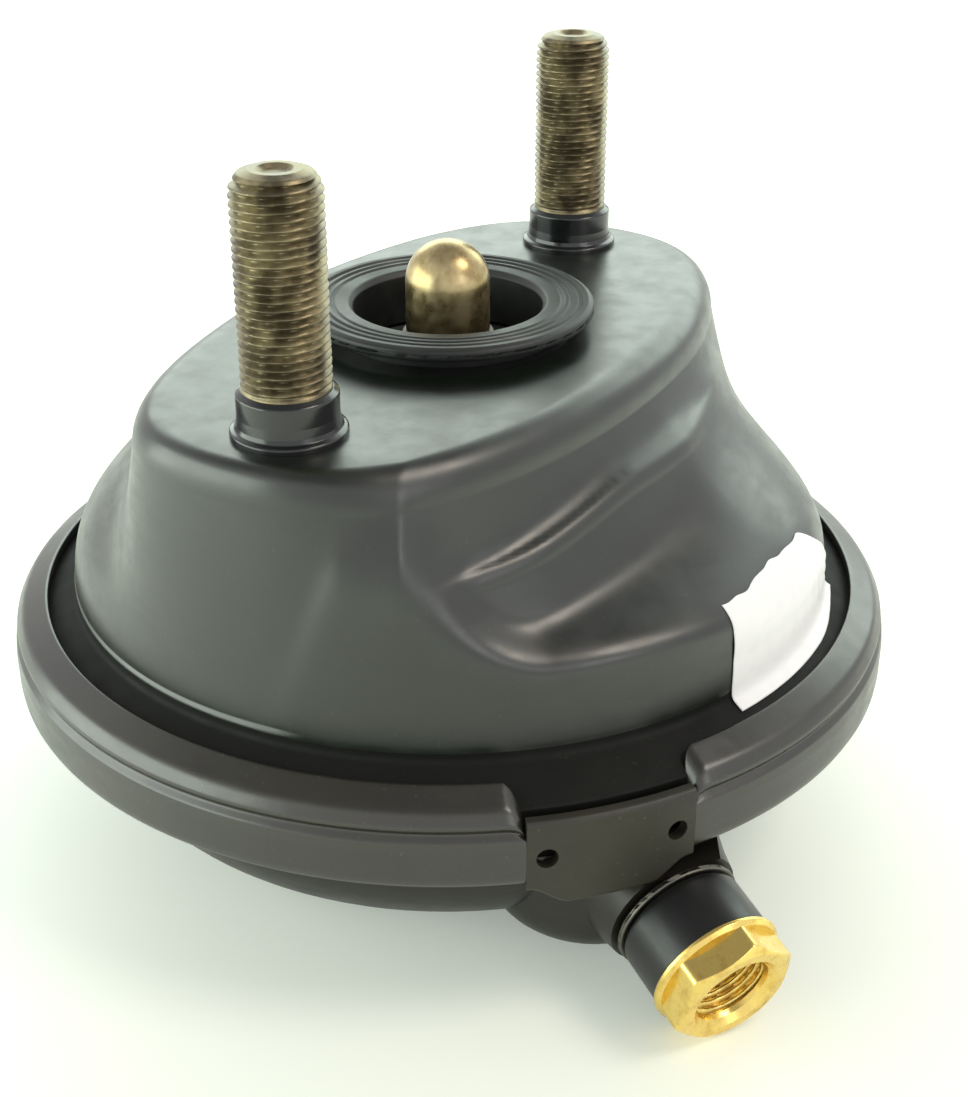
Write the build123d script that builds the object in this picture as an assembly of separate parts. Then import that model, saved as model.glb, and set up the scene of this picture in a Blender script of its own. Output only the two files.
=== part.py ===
from build123d import *
import math
import os

# Air brake chamber of the diaphragm kind, for a disc brake.
# A drawn steel bonnet and a drawn pressure housing hold the rim of a rubber diaphragm
# between two sloping flanges. A rolled clamp ring with one lap joint holds the flanges.
# Air lifts the diaphragm, the plate and the rod, and a conical spring brings them back.
# Origin: centre of the flat mounting land. +Z along the studs, X along the stud line.
# All lengths are in millimetres, all angles in degrees.

os.makedirs("parts", exist_ok=True)

# Mounting studs, M16 by 1.5
stud_spacing = 120.65
stud_radius = 8.0
stud_height = 46.8
stud_tip_radius = 4.7
stud_tip_drop = 2.2
stud_dimple_radius = 2.8
stud_dimple_depth = 0.9
stud_shoulder_radius = 8.95
stud_shoulder_top = 8.0
stud_shank_radius = 8.6
stud_head_radius = 12.0
stud_head_height = 5.5
washer_radius = 10.5
washer_thickness = 1.5
press_gap = 0.05

# Bonnet: an oval land on a round bowl, drawn from one sheet. The land and the bowl end a
# fixed margin outside the studs.
sheet = 3.0
land_end_margin = 13.675
bowl_end_margin = 18.975
land_half_length = stud_spacing / 2.0 + land_end_margin
land_half_width = 38.5
land_power = 2.35
land_skew = -2.5
land_edge_radius = 7.0
land_end_draft = 0.12
land_side_draft = 0.55
bowl_radius = stud_spacing / 2.0 + bowl_end_margin
bowl_depth = 49.5
bowl_draft = 0.02
bowl_shoulder_blend = 3.2
cone_inset = 39.8
cone_slope = 1.0
section_blend = 2.6
section_point_count = 72
outer_section_count = 34
inner_section_count = 22
washer_seat_depth = 0.3

# Bonnet: the ledge, the shelf and the pocket below it, on the -Y side. A turn is an angle
# from +X towards -Y, and a pair or four of turns says where a form fades in and out.
ledge_drop = 13.2
ledge_edge_radius = 3.5
ledge_draft = 0.45
ledge_top_slope = 3.0
ledge_turn = 100.5
ledge_reach = 55.0
ledge_end_turn = 70.0
ledge_end_reach = 50.0
ledge_overhang = 8.0
ledge_overhang_loss = 0.35
ledge_loss_turns = (135.0, 155.0)
ledge_blend = 1.5
ledge_fall = 6.5
ledge_fall_turns = (112.0, 154.0)
ledge_turns = (28.0, 70.0, 150.0, 174.0)
ledge_withdrawal = 110.0
shelf_inset = 54.05
shelf_slope = 1.45
shelf_turns = (50.0, 92.0, 158.0, 176.0)
pocket_rim_inset = 3.3
pocket_rim_depth = 32.6
pocket_slope = 3.2
pocket_end_slope = 1.0
pocket_slope_turns = (141.0, 156.0)
pocket_rise_turn = 139.0
pocket_rise_span = 20.0
pocket_rise = 21.0
pocket_turns = (92.0, 132.0, 166.0, 178.0)

# Flanges, clamped diaphragm rim and clamp ring
flange_reach = 9.3
flange_angle = 25.0
flange_drop = 2.8
flange_fillet = 1.2
bend_margin = 0.3
rim_thickness = 3.6
ring_sheet = 2.2
ring_lip_gap = 5.7
ring_wall_gap = 1.7
ring_corner_radius = 1.1
ring_low_corner_radius = 2.5
ring_crest_inset = 1.5
ring_crest_height = 2.6
ring_step = 0.5
ring_shoulder_gap = 0.6
ring_groove = 0.8
ring_low_lip_gap = 5.2
ring_play = 0.05
joint_direction = -134.6
joint_span = 20.0
joint_hole_radius = 2.0
joint_hole_inset = 2.3
joint_tab_span = 17.0
joint_tab_drop = 3.3
joint_tab_lap = 1.0
joint_hole_drop = 0.4
joint_top_drop = -1.6

# Pressure housing
housing_inset = 0.3
housing_radius = bowl_radius - housing_inset
housing_depth = 96.5
housing_corner_radius = 20.0
housing_pad_radius = 30.0
housing_pad_height = 1.5

# Diaphragm, plate, rod and spring
diaphragm_thickness = 3.0
running_gap = 0.4
stroke = 57.0
diaphragm_shoulder_radius = 2.0
diaphragm_base_margin = 8.0
diaphragm_corner_radius = 8.0
plate_inset = 27.3
plate_radius = bowl_radius - plate_inset
plate_thickness = 3.5
plate_rim_height = 2.5
plate_rim_thickness = 2.0
plate_boss_radius = 17.0
plate_boss_height = 11.0
rod_radius = 8.5
rod_reach = 17.5
rod_clip_depth = 2.6
rod_clip_height = 1.2
rod_clip_width = 0.9
rod_sleeve_depth = 50.0
rod_sleeve_height = 7.0
rod_sleeve_width = 2.3
spring_wire_radius = 1.9
spring_small_radius = 26.0
spring_inset = 10.0
spring_large_radius = plate_radius - spring_inset
spring_turns = 4.5

# Boot round the rod
boot_bore_radius = 19.1
boot_flange_radius = 29.4
boot_top = 5.6
boot_underside = 2.8
boot_neck_radius = 24.0
boot_inner_flange_radius = 28.0
boot_inner_flange_height = 2.7
boot_groove_depth = 0.7
boot_groove_width = 1.0
boot_groove_count = 3
boot_groove_pitch = 1.8
bellows_wall = 1.8
bellows_folds = 5
bellows_wave = 1.5
seat_thickness = 2.0
seat_radius = 31.0
seat_lip_depth = 4.0
soft_gap = 0.3

# Air port: socket, neck and brass adapter
port_direction = -125.3
port_tilt = 13.5
port_mouth_reach = 30.5
port_mouth_rise = 5.8
hex_across_flats = 22.0
hex_length = 5.5
adapter_flange_radius = 13.0
adapter_flange_length = 1.5
adapter_shank_radius = 8.9
adapter_shank_length = 11.0
thread_bore_radius = 7.19
thread_length = 11.0
thread_mouth_radius = 8.5
thread_relief = 0.35
air_bore_radius = 4.2
port_body_radius = 12.3
port_body_length = 12.0
port_body_edge = 1.6
port_washer_radius = 12.6
port_washer_length = 1.2
port_neck_radius = 9.3
port_neck_length = 14.0
hump_radius = 18.0
hump_length = 37.0
hump_top_gap = 0.8
swell_direction = -128.0
swell_inset = 14.0
swell_radius = 21.0
swell_edge_radius = 9.0
o_ring_radius = 1.0

# Drain plug at the back of the bonnet
drain_direction = 60.0
drain_height = 7.0
drain_hole_radius = 3.0
drain_head_radius = 4.6
drain_head_height = 1.4


def smooth_step(value, start, end):
    share = min(max((value - start) / (end - start), 0.0), 1.0)
    return share * share * (3.0 - 2.0 * share)


def soft_largest(blend, *values):
    top = max(values)
    return top + blend * math.log(sum(math.exp((value - top) / blend) for value in values))


def soft_smallest(blend, *values):
    return -soft_largest(blend, *[-value for value in values])


def window(turn, turns):
    """Weight that fades in between the first two turns and out between the last two."""
    return smooth_step(turn, turns[0], turns[1]) * (1.0 - smooth_step(turn, turns[2], turns[3]))


def edge_profile(edge_radius, depth, draft, top_slope):
    """How far a rounded edge, the drafted wall below it and the slope above it stand out."""
    below = max(depth, 0.0)
    in_round = min(below, edge_radius)
    rounded = math.sqrt(max(edge_radius ** 2 - (edge_radius - in_round) ** 2, 0.0))
    above = top_slope * max(-depth, 0.0)
    return rounded - edge_radius + (below - in_round) * draft - above


def land_outline(angle):
    """Radius of the flat land, a skewed oval."""
    skewed = math.radians(angle - land_skew)
    along = abs(math.cos(skewed) / land_half_length) ** land_power
    across = abs(math.sin(skewed) / land_half_width) ** land_power
    return (along + across) ** (-1.0 / land_power)


def ledge_radius(angle, turn, depth):
    """Outer radius of the ledge on the -Y side, drawn back where there is none."""
    overhang = ledge_overhang * (1.0 - ledge_overhang_loss * smooth_step(turn, *ledge_loss_turns))
    reach = land_outline(angle) + land_edge_radius + overhang
    for line_reach, line_turn in ((ledge_reach, ledge_turn), (ledge_end_reach, ledge_end_turn)):
        facing = math.cos(math.radians(turn - line_turn))
        if facing > 0.3:
            reach = soft_smallest(ledge_blend, reach, line_reach / facing)
    top = ledge_drop + ledge_fall * smooth_step(turn, *ledge_fall_turns)
    start, full, leave, end = ledge_turns
    absent = (1.0 - smooth_step(turn, start, full)) ** 2 + smooth_step(turn, leave, end) ** 2
    edge = edge_profile(ledge_edge_radius, depth - top, ledge_draft, ledge_top_slope)
    return reach + edge - ledge_withdrawal * absent


def pocket_radius(turn, depth):
    """Radius of the pocket's flat floor, whose rim climbs towards the -X end."""
    climbed = min(max(turn - pocket_rise_turn, 0.0), pocket_rise_span) / pocket_rise_span
    rim_depth = pocket_rim_depth - pocket_rise * climbed ** 2
    slope = pocket_slope + (pocket_end_slope - pocket_slope) * smooth_step(turn, *pocket_slope_turns)
    return max(bowl_radius - pocket_rim_inset + slope * (depth - rim_depth), land_edge_radius)


def bonnet_radius(angle, depth):
    """Outer radius of the bonnet at an angle about Z and a depth below the land."""
    turn = -((angle + 180.0) % 360.0 - 180.0)
    draft = land_end_draft + land_side_draft * math.sin(math.radians(angle - land_skew)) ** 2
    block = land_outline(angle) + land_edge_radius
    block += edge_profile(land_edge_radius, depth, draft, ledge_top_slope)
    dome = bowl_radius - cone_inset + cone_slope * depth
    shelf = bowl_radius - shelf_inset + shelf_slope * depth
    dome += (shelf - dome) * window(turn, shelf_turns)
    dome += (pocket_radius(turn, depth) - dome) * window(turn, pocket_turns)
    body = soft_largest(section_blend, block, dome, ledge_radius(angle, turn, depth))
    wall = bowl_radius - bowl_draft * (bowl_depth - depth)
    return soft_smallest(bowl_shoulder_blend, body, wall)


def bonnet_inner_radius(angle, depth):
    """Inner radius, one sheet thickness inside the outer form."""
    slant = sheet * math.sqrt(0.5)
    level = bonnet_radius(angle, depth - sheet)
    upright = bonnet_radius(angle, depth) - sheet
    sloping = bonnet_radius(angle, depth - slant) - slant
    return min(level, upright, sloping)


def closed_section(radius_of, depth):
    """Closed smooth curve of a radius function at one depth, with evenly spaced knots."""
    corners = []
    for index in range(section_point_count):
        angle = math.radians(360.0 * index / section_point_count)
        radius = radius_of(math.degrees(angle), depth)
        corners.append(Vector(radius * math.cos(angle), radius * math.sin(angle), -depth))
    knots = [index / section_point_count for index in range(section_point_count + 1)]
    return Wire([Edge.make_spline(corners, periodic=True, parameters=knots)])


def lofted_form(radius_of, top_depth, low_depth, count):
    """Solid through sections of a radius function, closer together near the top."""
    sections = []
    for index in range(count + 1):
        depth = top_depth + (low_depth - top_depth) * (index / count) ** 1.5
        sections.append(closed_section(radius_of, depth))
    return Solid.make_loft(sections)


def turned(*corners, fillets=()):
    """Solid of revolution about Z from corners given as (radius, z)."""
    outline = Polyline(*[(r, 0, z) for r, z in corners], close=True)
    face = make_face(outline)
    for spot, radius in fillets:
        near = Vector(spot[0], 0, spot[1])
        vertex = min(face.vertices(), key=lambda v: (v.center() - near).length)
        face = fillet([vertex], radius)
    return revolve(face, Axis.Z, 360)


def flange_z(radius, layer):
    """Height of a sloping flange surface that lies a thickness below the bonnet flange top."""
    slope = math.tan(math.radians(flange_angle))
    drop = layer / math.cos(math.radians(flange_angle))
    return -bowl_depth - flange_drop - drop - slope * (radius - bowl_radius)


def one_solid(shape):
    """The largest solid of a shape."""
    return max(shape.solids(), key=lambda s: s.volume)


flange_radius = bowl_radius + flange_reach
ring_outer_radius = flange_radius + ring_wall_gap + ring_sheet
low_lip_layer = 2.0 * sheet + rim_thickness + ring_play
ring_bottom = flange_z(ring_outer_radius, low_lip_layer + ring_sheet)
stud_places = {"front": -stud_spacing / 2.0, "rear": stud_spacing / 2.0}
neck_hole_radius = boot_neck_radius + soft_gap


def make_bonnet():
    outer = lofted_form(bonnet_radius, 0.0, bowl_depth, outer_section_count)
    inner = lofted_form(bonnet_inner_radius, sheet, bowl_depth, inner_section_count)
    inside = bowl_radius - sheet - bend_margin
    outside = bowl_radius + bend_margin
    flange = turned(
        (inside, -bowl_depth),
        (outside, -bowl_depth),
        (outside, flange_z(outside, 0.0)),
        (flange_radius, flange_z(flange_radius, 0.0)),
        (flange_radius, flange_z(flange_radius, sheet)),
        (inside, flange_z(inside, sheet)),
        fillets=(((outside, flange_z(outside, 0.0)), flange_fillet),),
    )
    shell = outer - inner + flange
    shell -= Cylinder(neck_hole_radius, 4.0 * sheet)
    for place in stud_places.values():
        shell -= Pos(place, 0, 0) * Cylinder(stud_shank_radius + press_gap, 4.0 * sheet)
        shell -= Pos(place, 0, 0) * Cylinder(washer_radius + soft_gap, 2.0 * washer_seat_depth)
    shell -= drain_place() * Cylinder(drain_hole_radius, 8.0 * sheet)
    return one_solid(shell)


def drain_place():
    """Place on the bowl wall with Z pointing outwards."""
    outward = math.radians(drain_direction)
    centre = bonnet_radius(drain_direction, bowl_depth - drain_height + drain_head_radius)
    spot = (centre * math.cos(outward), centre * math.sin(outward), -bowl_depth + drain_height)
    direction = (math.cos(outward), math.sin(outward), 0)
    return Plane(origin=spot, z_dir=direction).location


def make_drain_plug():
    head = Pos(0, 0, soft_gap + drain_head_height / 2.0) * Cylinder(drain_head_radius, drain_head_height)
    head = fillet(head.edges().filter_by(GeomType.CIRCLE).sort_by(Axis.Z)[-1], 0.6)
    stem_length = sheet + soft_gap + 2.0
    stem = Pos(0, 0, soft_gap - stem_length / 2.0) * Cylinder(drain_hole_radius - press_gap, stem_length)
    return one_solid(drain_place() * (head + stem))


def make_stud(place):
    tip = stud_height - stud_tip_drop
    shape = turned(
        (0, -sheet - stud_head_height),
        (stud_head_radius, -sheet - stud_head_height),
        (stud_head_radius, -sheet),
        (stud_shank_radius, -sheet),
        (stud_shank_radius, washer_thickness),
        (stud_shoulder_radius, washer_thickness),
        (stud_shoulder_radius, stud_shoulder_top),
        (stud_radius, stud_shoulder_top + 0.6),
        (stud_radius, tip),
        (stud_tip_radius, stud_height),
        (stud_dimple_radius, stud_height),
        (0, stud_height - stud_dimple_depth),
        fillets=(((stud_shoulder_radius, stud_shoulder_top), 0.5),),
    )
    return Pos(place, 0, 0) * shape


def make_stud_washer(place):
    inner = stud_shank_radius + press_gap
    shape = turned(
        (inner, -washer_seat_depth),
        (washer_radius, -washer_seat_depth),
        (washer_radius, washer_thickness),
        (inner, washer_thickness),
        fillets=(((washer_radius, washer_thickness), 0.6),),
    )
    return Pos(place, 0, 0) * shape


def joint_wedge(span):
    """Wedge about the lap joint, wide enough to reach past the clamp ring."""
    reach = ring_outer_radius * 1.4
    half = math.radians(span / 2.0)
    middle = math.radians(joint_direction)
    corners = [(0, 0)]
    for side in (-half, 0.0, half):
        corners.append((reach * math.cos(middle + side), reach * math.sin(middle + side)))
    face = make_face(Polyline(*corners, close=True))
    height = 3.0 * housing_depth
    return Pos(0, 0, -height / 2.0) * extrude(face, height)


def make_clamp_ring():
    """Rolled channel, with an upper and a lower lip that both follow the sloping flanges."""
    lip_radius = bowl_radius + ring_lip_gap
    low_lip_radius = bowl_radius + ring_low_lip_gap
    inner_radius = ring_outer_radius - ring_sheet
    shoulder_radius = flange_radius + ring_shoulder_gap
    crest_radius = ring_outer_radius - ring_crest_inset
    crest = flange_z(crest_radius, -ring_sheet)
    groove_top = crest - ring_crest_height
    groove_low = groove_top - 2.0 * ring_groove
    wall_top = groove_low - ring_groove
    ring = turned(
        (lip_radius, flange_z(lip_radius, -ring_sheet)),
        (crest_radius, crest),
        (ring_outer_radius - ring_step, groove_top),
        (ring_outer_radius - ring_step - ring_groove, groove_low),
        (ring_outer_radius, wall_top),
        (ring_outer_radius, ring_bottom),
        (low_lip_radius, flange_z(low_lip_radius, low_lip_layer + ring_sheet)),
        (low_lip_radius, flange_z(low_lip_radius, low_lip_layer)),
        (inner_radius, flange_z(inner_radius, low_lip_layer)),
        (inner_radius, wall_top),
        (shoulder_radius, flange_z(shoulder_radius, 0.0)),
        (lip_radius, flange_z(lip_radius, 0.0)),
        fillets=(
            ((crest_radius, crest), ring_corner_radius),
            ((ring_outer_radius, ring_bottom), ring_low_corner_radius),
        ),
    )
    return one_solid(ring - joint_wedge(joint_span))


def band(top, bottom):
    """Upright band at the clamp ring's outer face."""
    inner = ring_outer_radius - ring_sheet
    return turned((inner, bottom), (ring_outer_radius, bottom), (ring_outer_radius, top), (inner, top))


def make_joint_plate():
    top = flange_z(ring_outer_radius - ring_crest_inset, -ring_sheet) + joint_top_drop
    bottom = ring_bottom
    plate = band(top, bottom) & joint_wedge(joint_span)
    plate += band(bottom + joint_tab_lap, bottom - joint_tab_drop) & joint_wedge(joint_tab_span)
    for side in (-1.0, 1.0):
        turn = joint_direction + side * (joint_span / 2.0 - joint_hole_inset)
        place = Rot(0, 0, turn) * Pos(ring_outer_radius, 0, (top + bottom) / 2.0 - joint_hole_drop)
        plate -= place * Rot(0, 90, 0) * Cylinder(joint_hole_radius, 4.0 * ring_sheet)
    return one_solid(plate)


def make_pressure_housing():
    floor = -housing_depth
    top_layer = sheet + rim_thickness
    rim_top = flange_z(housing_radius, top_layer)
    outline = Polyline(
        (0, 0, floor),
        (housing_radius, 0, floor),
        (housing_radius, 0, flange_z(housing_radius, top_layer + sheet)),
        (flange_radius, 0, flange_z(flange_radius, top_layer + sheet)),
        (flange_radius, 0, flange_z(flange_radius, top_layer)),
        (housing_radius, 0, rim_top),
        (housing_radius - sheet, 0, rim_top),
        (housing_radius - sheet, 0, floor + sheet),
        (0, 0, floor + sheet),
        close=True,
    )
    face = make_face(outline)
    corners = (
        ((housing_radius, floor), housing_corner_radius),
        ((housing_radius - sheet, floor + sheet), housing_corner_radius - sheet),
    )
    for spot, radius in corners:
        near = Vector(spot[0], 0, spot[1])
        vertex = min(face.vertices(), key=lambda v: (v.center() - near).length)
        face = fillet([vertex], radius)
    dish = revolve(face, Axis.Z, 360)
    pad = Pos(0, 0, floor - housing_pad_height / 2.0) * Cylinder(housing_pad_radius, housing_pad_height)
    dish += pad
    inside = turned(
        (0, floor + sheet),
        (housing_radius - sheet, floor + sheet),
        (housing_radius - sheet, rim_top),
        (0, rim_top),
        fillets=(((housing_radius - sheet, floor + sheet), housing_corner_radius - sheet),),
    )
    hump = port_frame() * make_hump()
    ceiling = ring_bottom - joint_tab_drop - hump_top_gap
    above = Pos(0, 0, ceiling + housing_depth / 2.0) * Cylinder(3.0 * housing_radius, housing_depth)
    hump = (hump - above) + make_swell(ceiling)
    shell = dish + (hump - inside)
    air_length = 4.0 * port_neck_length
    shell -= port_frame() * Pos(0, 0, -port_depth() - air_length / 2.0) * Cylinder(air_bore_radius, air_length)
    shell -= port_frame() * Pos(0, 0, -port_depth()) * Cylinder(
        port_neck_radius + press_gap, 2.0 * (port_neck_length - 4.0)
    )
    return one_solid(shell)


def port_frame():
    """Place at the port's mouth, with Z pointing out along the port."""
    outward = math.radians(port_direction)
    tilt = math.radians(port_tilt)
    reach = housing_radius + port_mouth_reach
    spot = (reach * math.cos(outward), reach * math.sin(outward), -housing_depth + port_mouth_rise)
    flat = math.cos(tilt)
    direction = (flat * math.cos(outward), flat * math.sin(outward), -math.sin(tilt))
    return Plane(origin=spot, z_dir=direction).location


def port_depth():
    """Distance from the mouth to the inner face of the port washer."""
    return hex_length + adapter_flange_length + port_body_length + port_washer_length


def make_hump():
    """Swelling drawn out of the housing round the port, as a solid of revolution."""
    near = -port_depth() - 1.0
    end = near - hump_length
    mouth = port_body_radius + 1.0
    profile = Spline(
        (mouth, 0, near),
        (hump_radius * 0.86, 0, near - hump_length * 0.22),
        (hump_radius, 0, near - hump_length * 0.5),
        (hump_radius * 0.7, 0, near - hump_length * 0.84),
        (0, 0, end),
    )
    sides = Polyline((0, 0, end), (0, 0, near), (mouth, 0, near))
    return revolve(make_face(Wire([profile, *sides.edges()])), Axis.Z, 360)


def make_swell(ceiling):
    """Round foot of the swelling, drawn down level with the pad."""
    outward = math.radians(swell_direction)
    reach = housing_radius - swell_inset
    floor = -housing_depth - housing_pad_height
    height = ceiling - floor
    foot = Cylinder(swell_radius, height)
    foot = fillet(foot.edges().filter_by(GeomType.CIRCLE).sort_by(Axis.Z)[0], swell_edge_radius)
    return Pos(reach * math.cos(outward), reach * math.sin(outward), floor + height / 2.0) * foot


def make_port_neck():
    length = port_neck_length - 4.0
    start = -port_depth()
    neck = Pos(0, 0, start - length / 2.0) * (
        Cylinder(port_neck_radius, length) - Cylinder(air_bore_radius, 2.0 * length)
    )
    return port_frame() * neck


def make_port_washer():
    start = -port_depth() + port_washer_length / 2.0
    washer = Cylinder(port_washer_radius, port_washer_length)
    washer = fillet(washer.edges().filter_by(GeomType.CIRCLE), 0.3)
    washer -= Cylinder(air_bore_radius, 3.0 * port_washer_length)
    return port_frame() * Pos(0, 0, start) * washer


def make_port_body():
    start = -hex_length - adapter_flange_length
    body = Pos(0, 0, start - port_body_length / 2.0) * Cylinder(port_body_radius, port_body_length)
    back = body.edges().filter_by(GeomType.CIRCLE).sort_by(Axis.Z)[0]
    body = fillet(back, port_body_edge)
    body -= Pos(0, 0, start) * Cylinder(adapter_shank_radius + press_gap, 2.0 * adapter_shank_length)
    body -= Pos(0, 0, start) * Cylinder(air_bore_radius, 4.0 * port_body_length)
    return port_frame() * body


def make_port_adapter():
    half = hex_across_flats / 2.0
    corner = half / math.cos(math.radians(30.0))
    hexagon = extrude(RegularPolygon(corner, 6), hex_length)
    crown = turned(
        (0, 0),
        (corner + 1.0, 0),
        (corner + 1.0, hex_length - 0.9),
        (half - 0.3, hex_length),
        (0, hex_length),
    )
    body = Pos(0, 0, -hex_length) * (hexagon & crown)
    start = -hex_length - adapter_flange_length
    flange = turned(
        (0, start),
        (adapter_flange_radius, start),
        (adapter_flange_radius, start + adapter_flange_length / 2.0),
        (adapter_flange_radius - 1.0, start + adapter_flange_length),
        (0, start + adapter_flange_length),
    )
    body += flange
    body += Pos(0, 0, start - adapter_shank_length / 2.0) * Cylinder(adapter_shank_radius, adapter_shank_length)
    body -= Pos(0, 0, -thread_length / 2.0) * Cylinder(thread_bore_radius, thread_length)
    relief_depth = 2.0 * o_ring_radius + 0.6
    relief = Cylinder(thread_bore_radius + thread_relief, relief_depth)
    body -= Pos(0, 0, -thread_length - relief_depth / 2.0) * relief
    body -= Cylinder(air_bore_radius, 6.0 * adapter_shank_length)
    chamfer_depth = thread_mouth_radius - thread_bore_radius
    body -= turned(
        (0, 0.1),
        (thread_mouth_radius + 0.1, 0.1),
        (thread_bore_radius, -chamfer_depth),
        (0, -chamfer_depth),
    )
    return port_frame() * one_solid(body)


def make_o_ring():
    centre = thread_bore_radius + thread_relief - o_ring_radius - 0.1
    depth = thread_length + o_ring_radius + 0.4
    ring = Torus(centre, o_ring_radius)
    return port_frame() * Pos(0, 0, -depth) * ring


def make_diaphragm():
    """Rubber cup whose rim is clamped and whose wall tapers down to the floor."""
    outer = housing_radius - sheet - running_gap
    base = plate_radius + diaphragm_base_margin
    under = -housing_depth + sheet + soft_gap
    over = under + diaphragm_thickness
    edge = flange_radius - soft_gap
    gap = soft_gap / 2.0
    inner = outer - diaphragm_thickness
    inner_base = base - diaphragm_thickness
    top = flange_z(inner, sheet + gap)
    return turned(
        (0, under),
        (base, under),
        (outer, flange_z(outer, sheet + rim_thickness - gap)),
        (edge, flange_z(edge, sheet + rim_thickness - gap)),
        (edge, flange_z(edge, sheet + gap)),
        (inner, top),
        (inner_base, over),
        (0, over),
        fillets=(
            ((base, under), diaphragm_corner_radius),
            ((inner_base, over), diaphragm_corner_radius - diaphragm_thickness),
            ((inner, top), diaphragm_shoulder_radius),
        ),
    )


def plate_bottom():
    """Underside of the push plate at rest, just above the diaphragm."""
    return -housing_depth + sheet + soft_gap + diaphragm_thickness + running_gap


def make_push_plate():
    low = plate_bottom()
    high = low + plate_thickness
    rim = spring_large_radius + spring_wire_radius + running_gap
    return turned(
        (0, low),
        (plate_radius, low),
        (plate_radius, high),
        (rim + plate_rim_thickness, high),
        (rim + plate_rim_thickness, high + plate_rim_height),
        (rim, high + plate_rim_height),
        (rim, high),
        (rod_radius, high),
        (rod_radius, high - plate_thickness / 2.0),
        (0, high - plate_thickness / 2.0),
        fillets=(((plate_radius, low), 1.6), ((plate_radius, high), 1.2)),
    )


def make_plate_boss():
    low = plate_bottom() + plate_thickness
    return turned(
        (rod_radius, low),
        (plate_boss_radius, low),
        (plate_boss_radius - 1.5, low + plate_boss_height * 0.35),
        (rod_radius + 1.8, low + plate_boss_height),
        (rod_radius, low + plate_boss_height),
        fillets=(((plate_boss_radius - 1.5, low + plate_boss_height * 0.35), 3.0),),
    )


def make_push_rod():
    low = plate_bottom() + plate_thickness / 2.0
    shoulder = rod_reach - rod_radius
    side = Polyline((0, 0, rod_reach), (0, 0, low), (rod_radius, 0, low), (rod_radius, 0, shoulder))
    dome = CenterArc((0, 0, 0), rod_radius, 0, 90)
    dome = Pos(0, 0, shoulder) * Rot(90, 0, 0) * dome
    face = make_face(Wire([*side.edges(), *dome.edges()]))
    return revolve(face, Axis.Z, 360)


def make_rod_clip():
    return turned(
        (rod_radius, -rod_clip_depth),
        (rod_radius + rod_clip_width, -rod_clip_depth),
        (rod_radius + rod_clip_width, -rod_clip_depth + rod_clip_height),
        (rod_radius, -rod_clip_depth + rod_clip_height),
        fillets=(((rod_radius + rod_clip_width, -rod_clip_depth + rod_clip_height), 0.35),),
    )


def make_rod_sleeve():
    low = -rod_sleeve_depth
    return turned(
        (rod_radius, low),
        (rod_radius + rod_sleeve_width, low),
        (rod_radius + rod_sleeve_width, low + rod_sleeve_height),
        (rod_radius, low + rod_sleeve_height),
    )


def make_bellows():
    """Thin rubber cone from the boot seal down to the sleeve on the rod."""
    top = -sheet - soft_gap - boot_inner_flange_height - soft_gap
    low = -rod_sleeve_depth + 1.0
    wide = boot_bore_radius + 0.4
    narrow = rod_radius + rod_sleeve_width + soft_gap
    cuff = low + rod_sleeve_height - 2.0
    steps = 8 * bellows_folds
    inner = []
    for index in range(steps + 1):
        share = index / steps
        fade = math.sin(math.pi * share) ** 0.5 if 0 < share < 1 else 0.0
        wave = bellows_wave * fade * math.sin(2.0 * math.pi * bellows_folds * share)
        inner.append((narrow + (wide - narrow) * share + wave, cuff + (top - cuff) * share))
    outer = [(radius + bellows_wall, z) for radius, z in reversed(inner)]
    side_in = Spline(*[(r, 0, z) for r, z in inner])
    side_out = Spline(*[(r, 0, z) for r, z in outer])
    lid = Polyline((inner[-1][0], 0, top), (outer[0][0], 0, top))
    cuff_line = Polyline(
        (outer[-1][0], 0, cuff),
        (narrow + bellows_wall, 0, low),
        (narrow, 0, low),
        (narrow, 0, cuff),
    )
    face = make_face(Wire([*side_in.edges(), *lid.edges(), *side_out.edges(), *cuff_line.edges()]))
    return revolve(face, Axis.Z, 360)


def make_boot_seal():
    low = -sheet - soft_gap - boot_inner_flange_height
    top = boot_top
    outline = [
        (boot_bore_radius, low),
        (boot_inner_flange_radius, low),
        (boot_inner_flange_radius, low + boot_inner_flange_height),
        (boot_neck_radius, low + boot_inner_flange_height),
        (boot_neck_radius, boot_underside),
        (boot_flange_radius, boot_underside + 0.3),
        (boot_flange_radius, top - 0.5),
        (boot_flange_radius - 1.2, top),
    ]
    radius = boot_flange_radius - 2.2
    for _ in range(boot_groove_count):
        outline.append((radius, top))
        outline.append((radius - boot_groove_width / 2.0, top - boot_groove_depth))
        outline.append((radius - boot_groove_width, top))
        radius -= boot_groove_pitch
    outline.append((boot_bore_radius + 0.8, top))
    outline.append((boot_bore_radius, top - 0.9))
    return turned(*outline)


def seat_top():
    """Top face of the spring seat, which holds the boot's inner flange up."""
    return -sheet - 2.0 * soft_gap - boot_inner_flange_height


def make_spring_seat():
    inner = spring_small_radius - spring_wire_radius - running_gap - seat_thickness
    high = seat_top()
    low = high - seat_thickness
    seat = turned(
        (inner, low - seat_lip_depth),
        (inner + seat_thickness, low - seat_lip_depth),
        (inner + seat_thickness, low),
        (seat_radius, low),
        (seat_radius, -sheet),
        (seat_radius - seat_thickness, -sheet),
        (seat_radius - seat_thickness, high),
        (inner, high),
    )
    return seat


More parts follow.
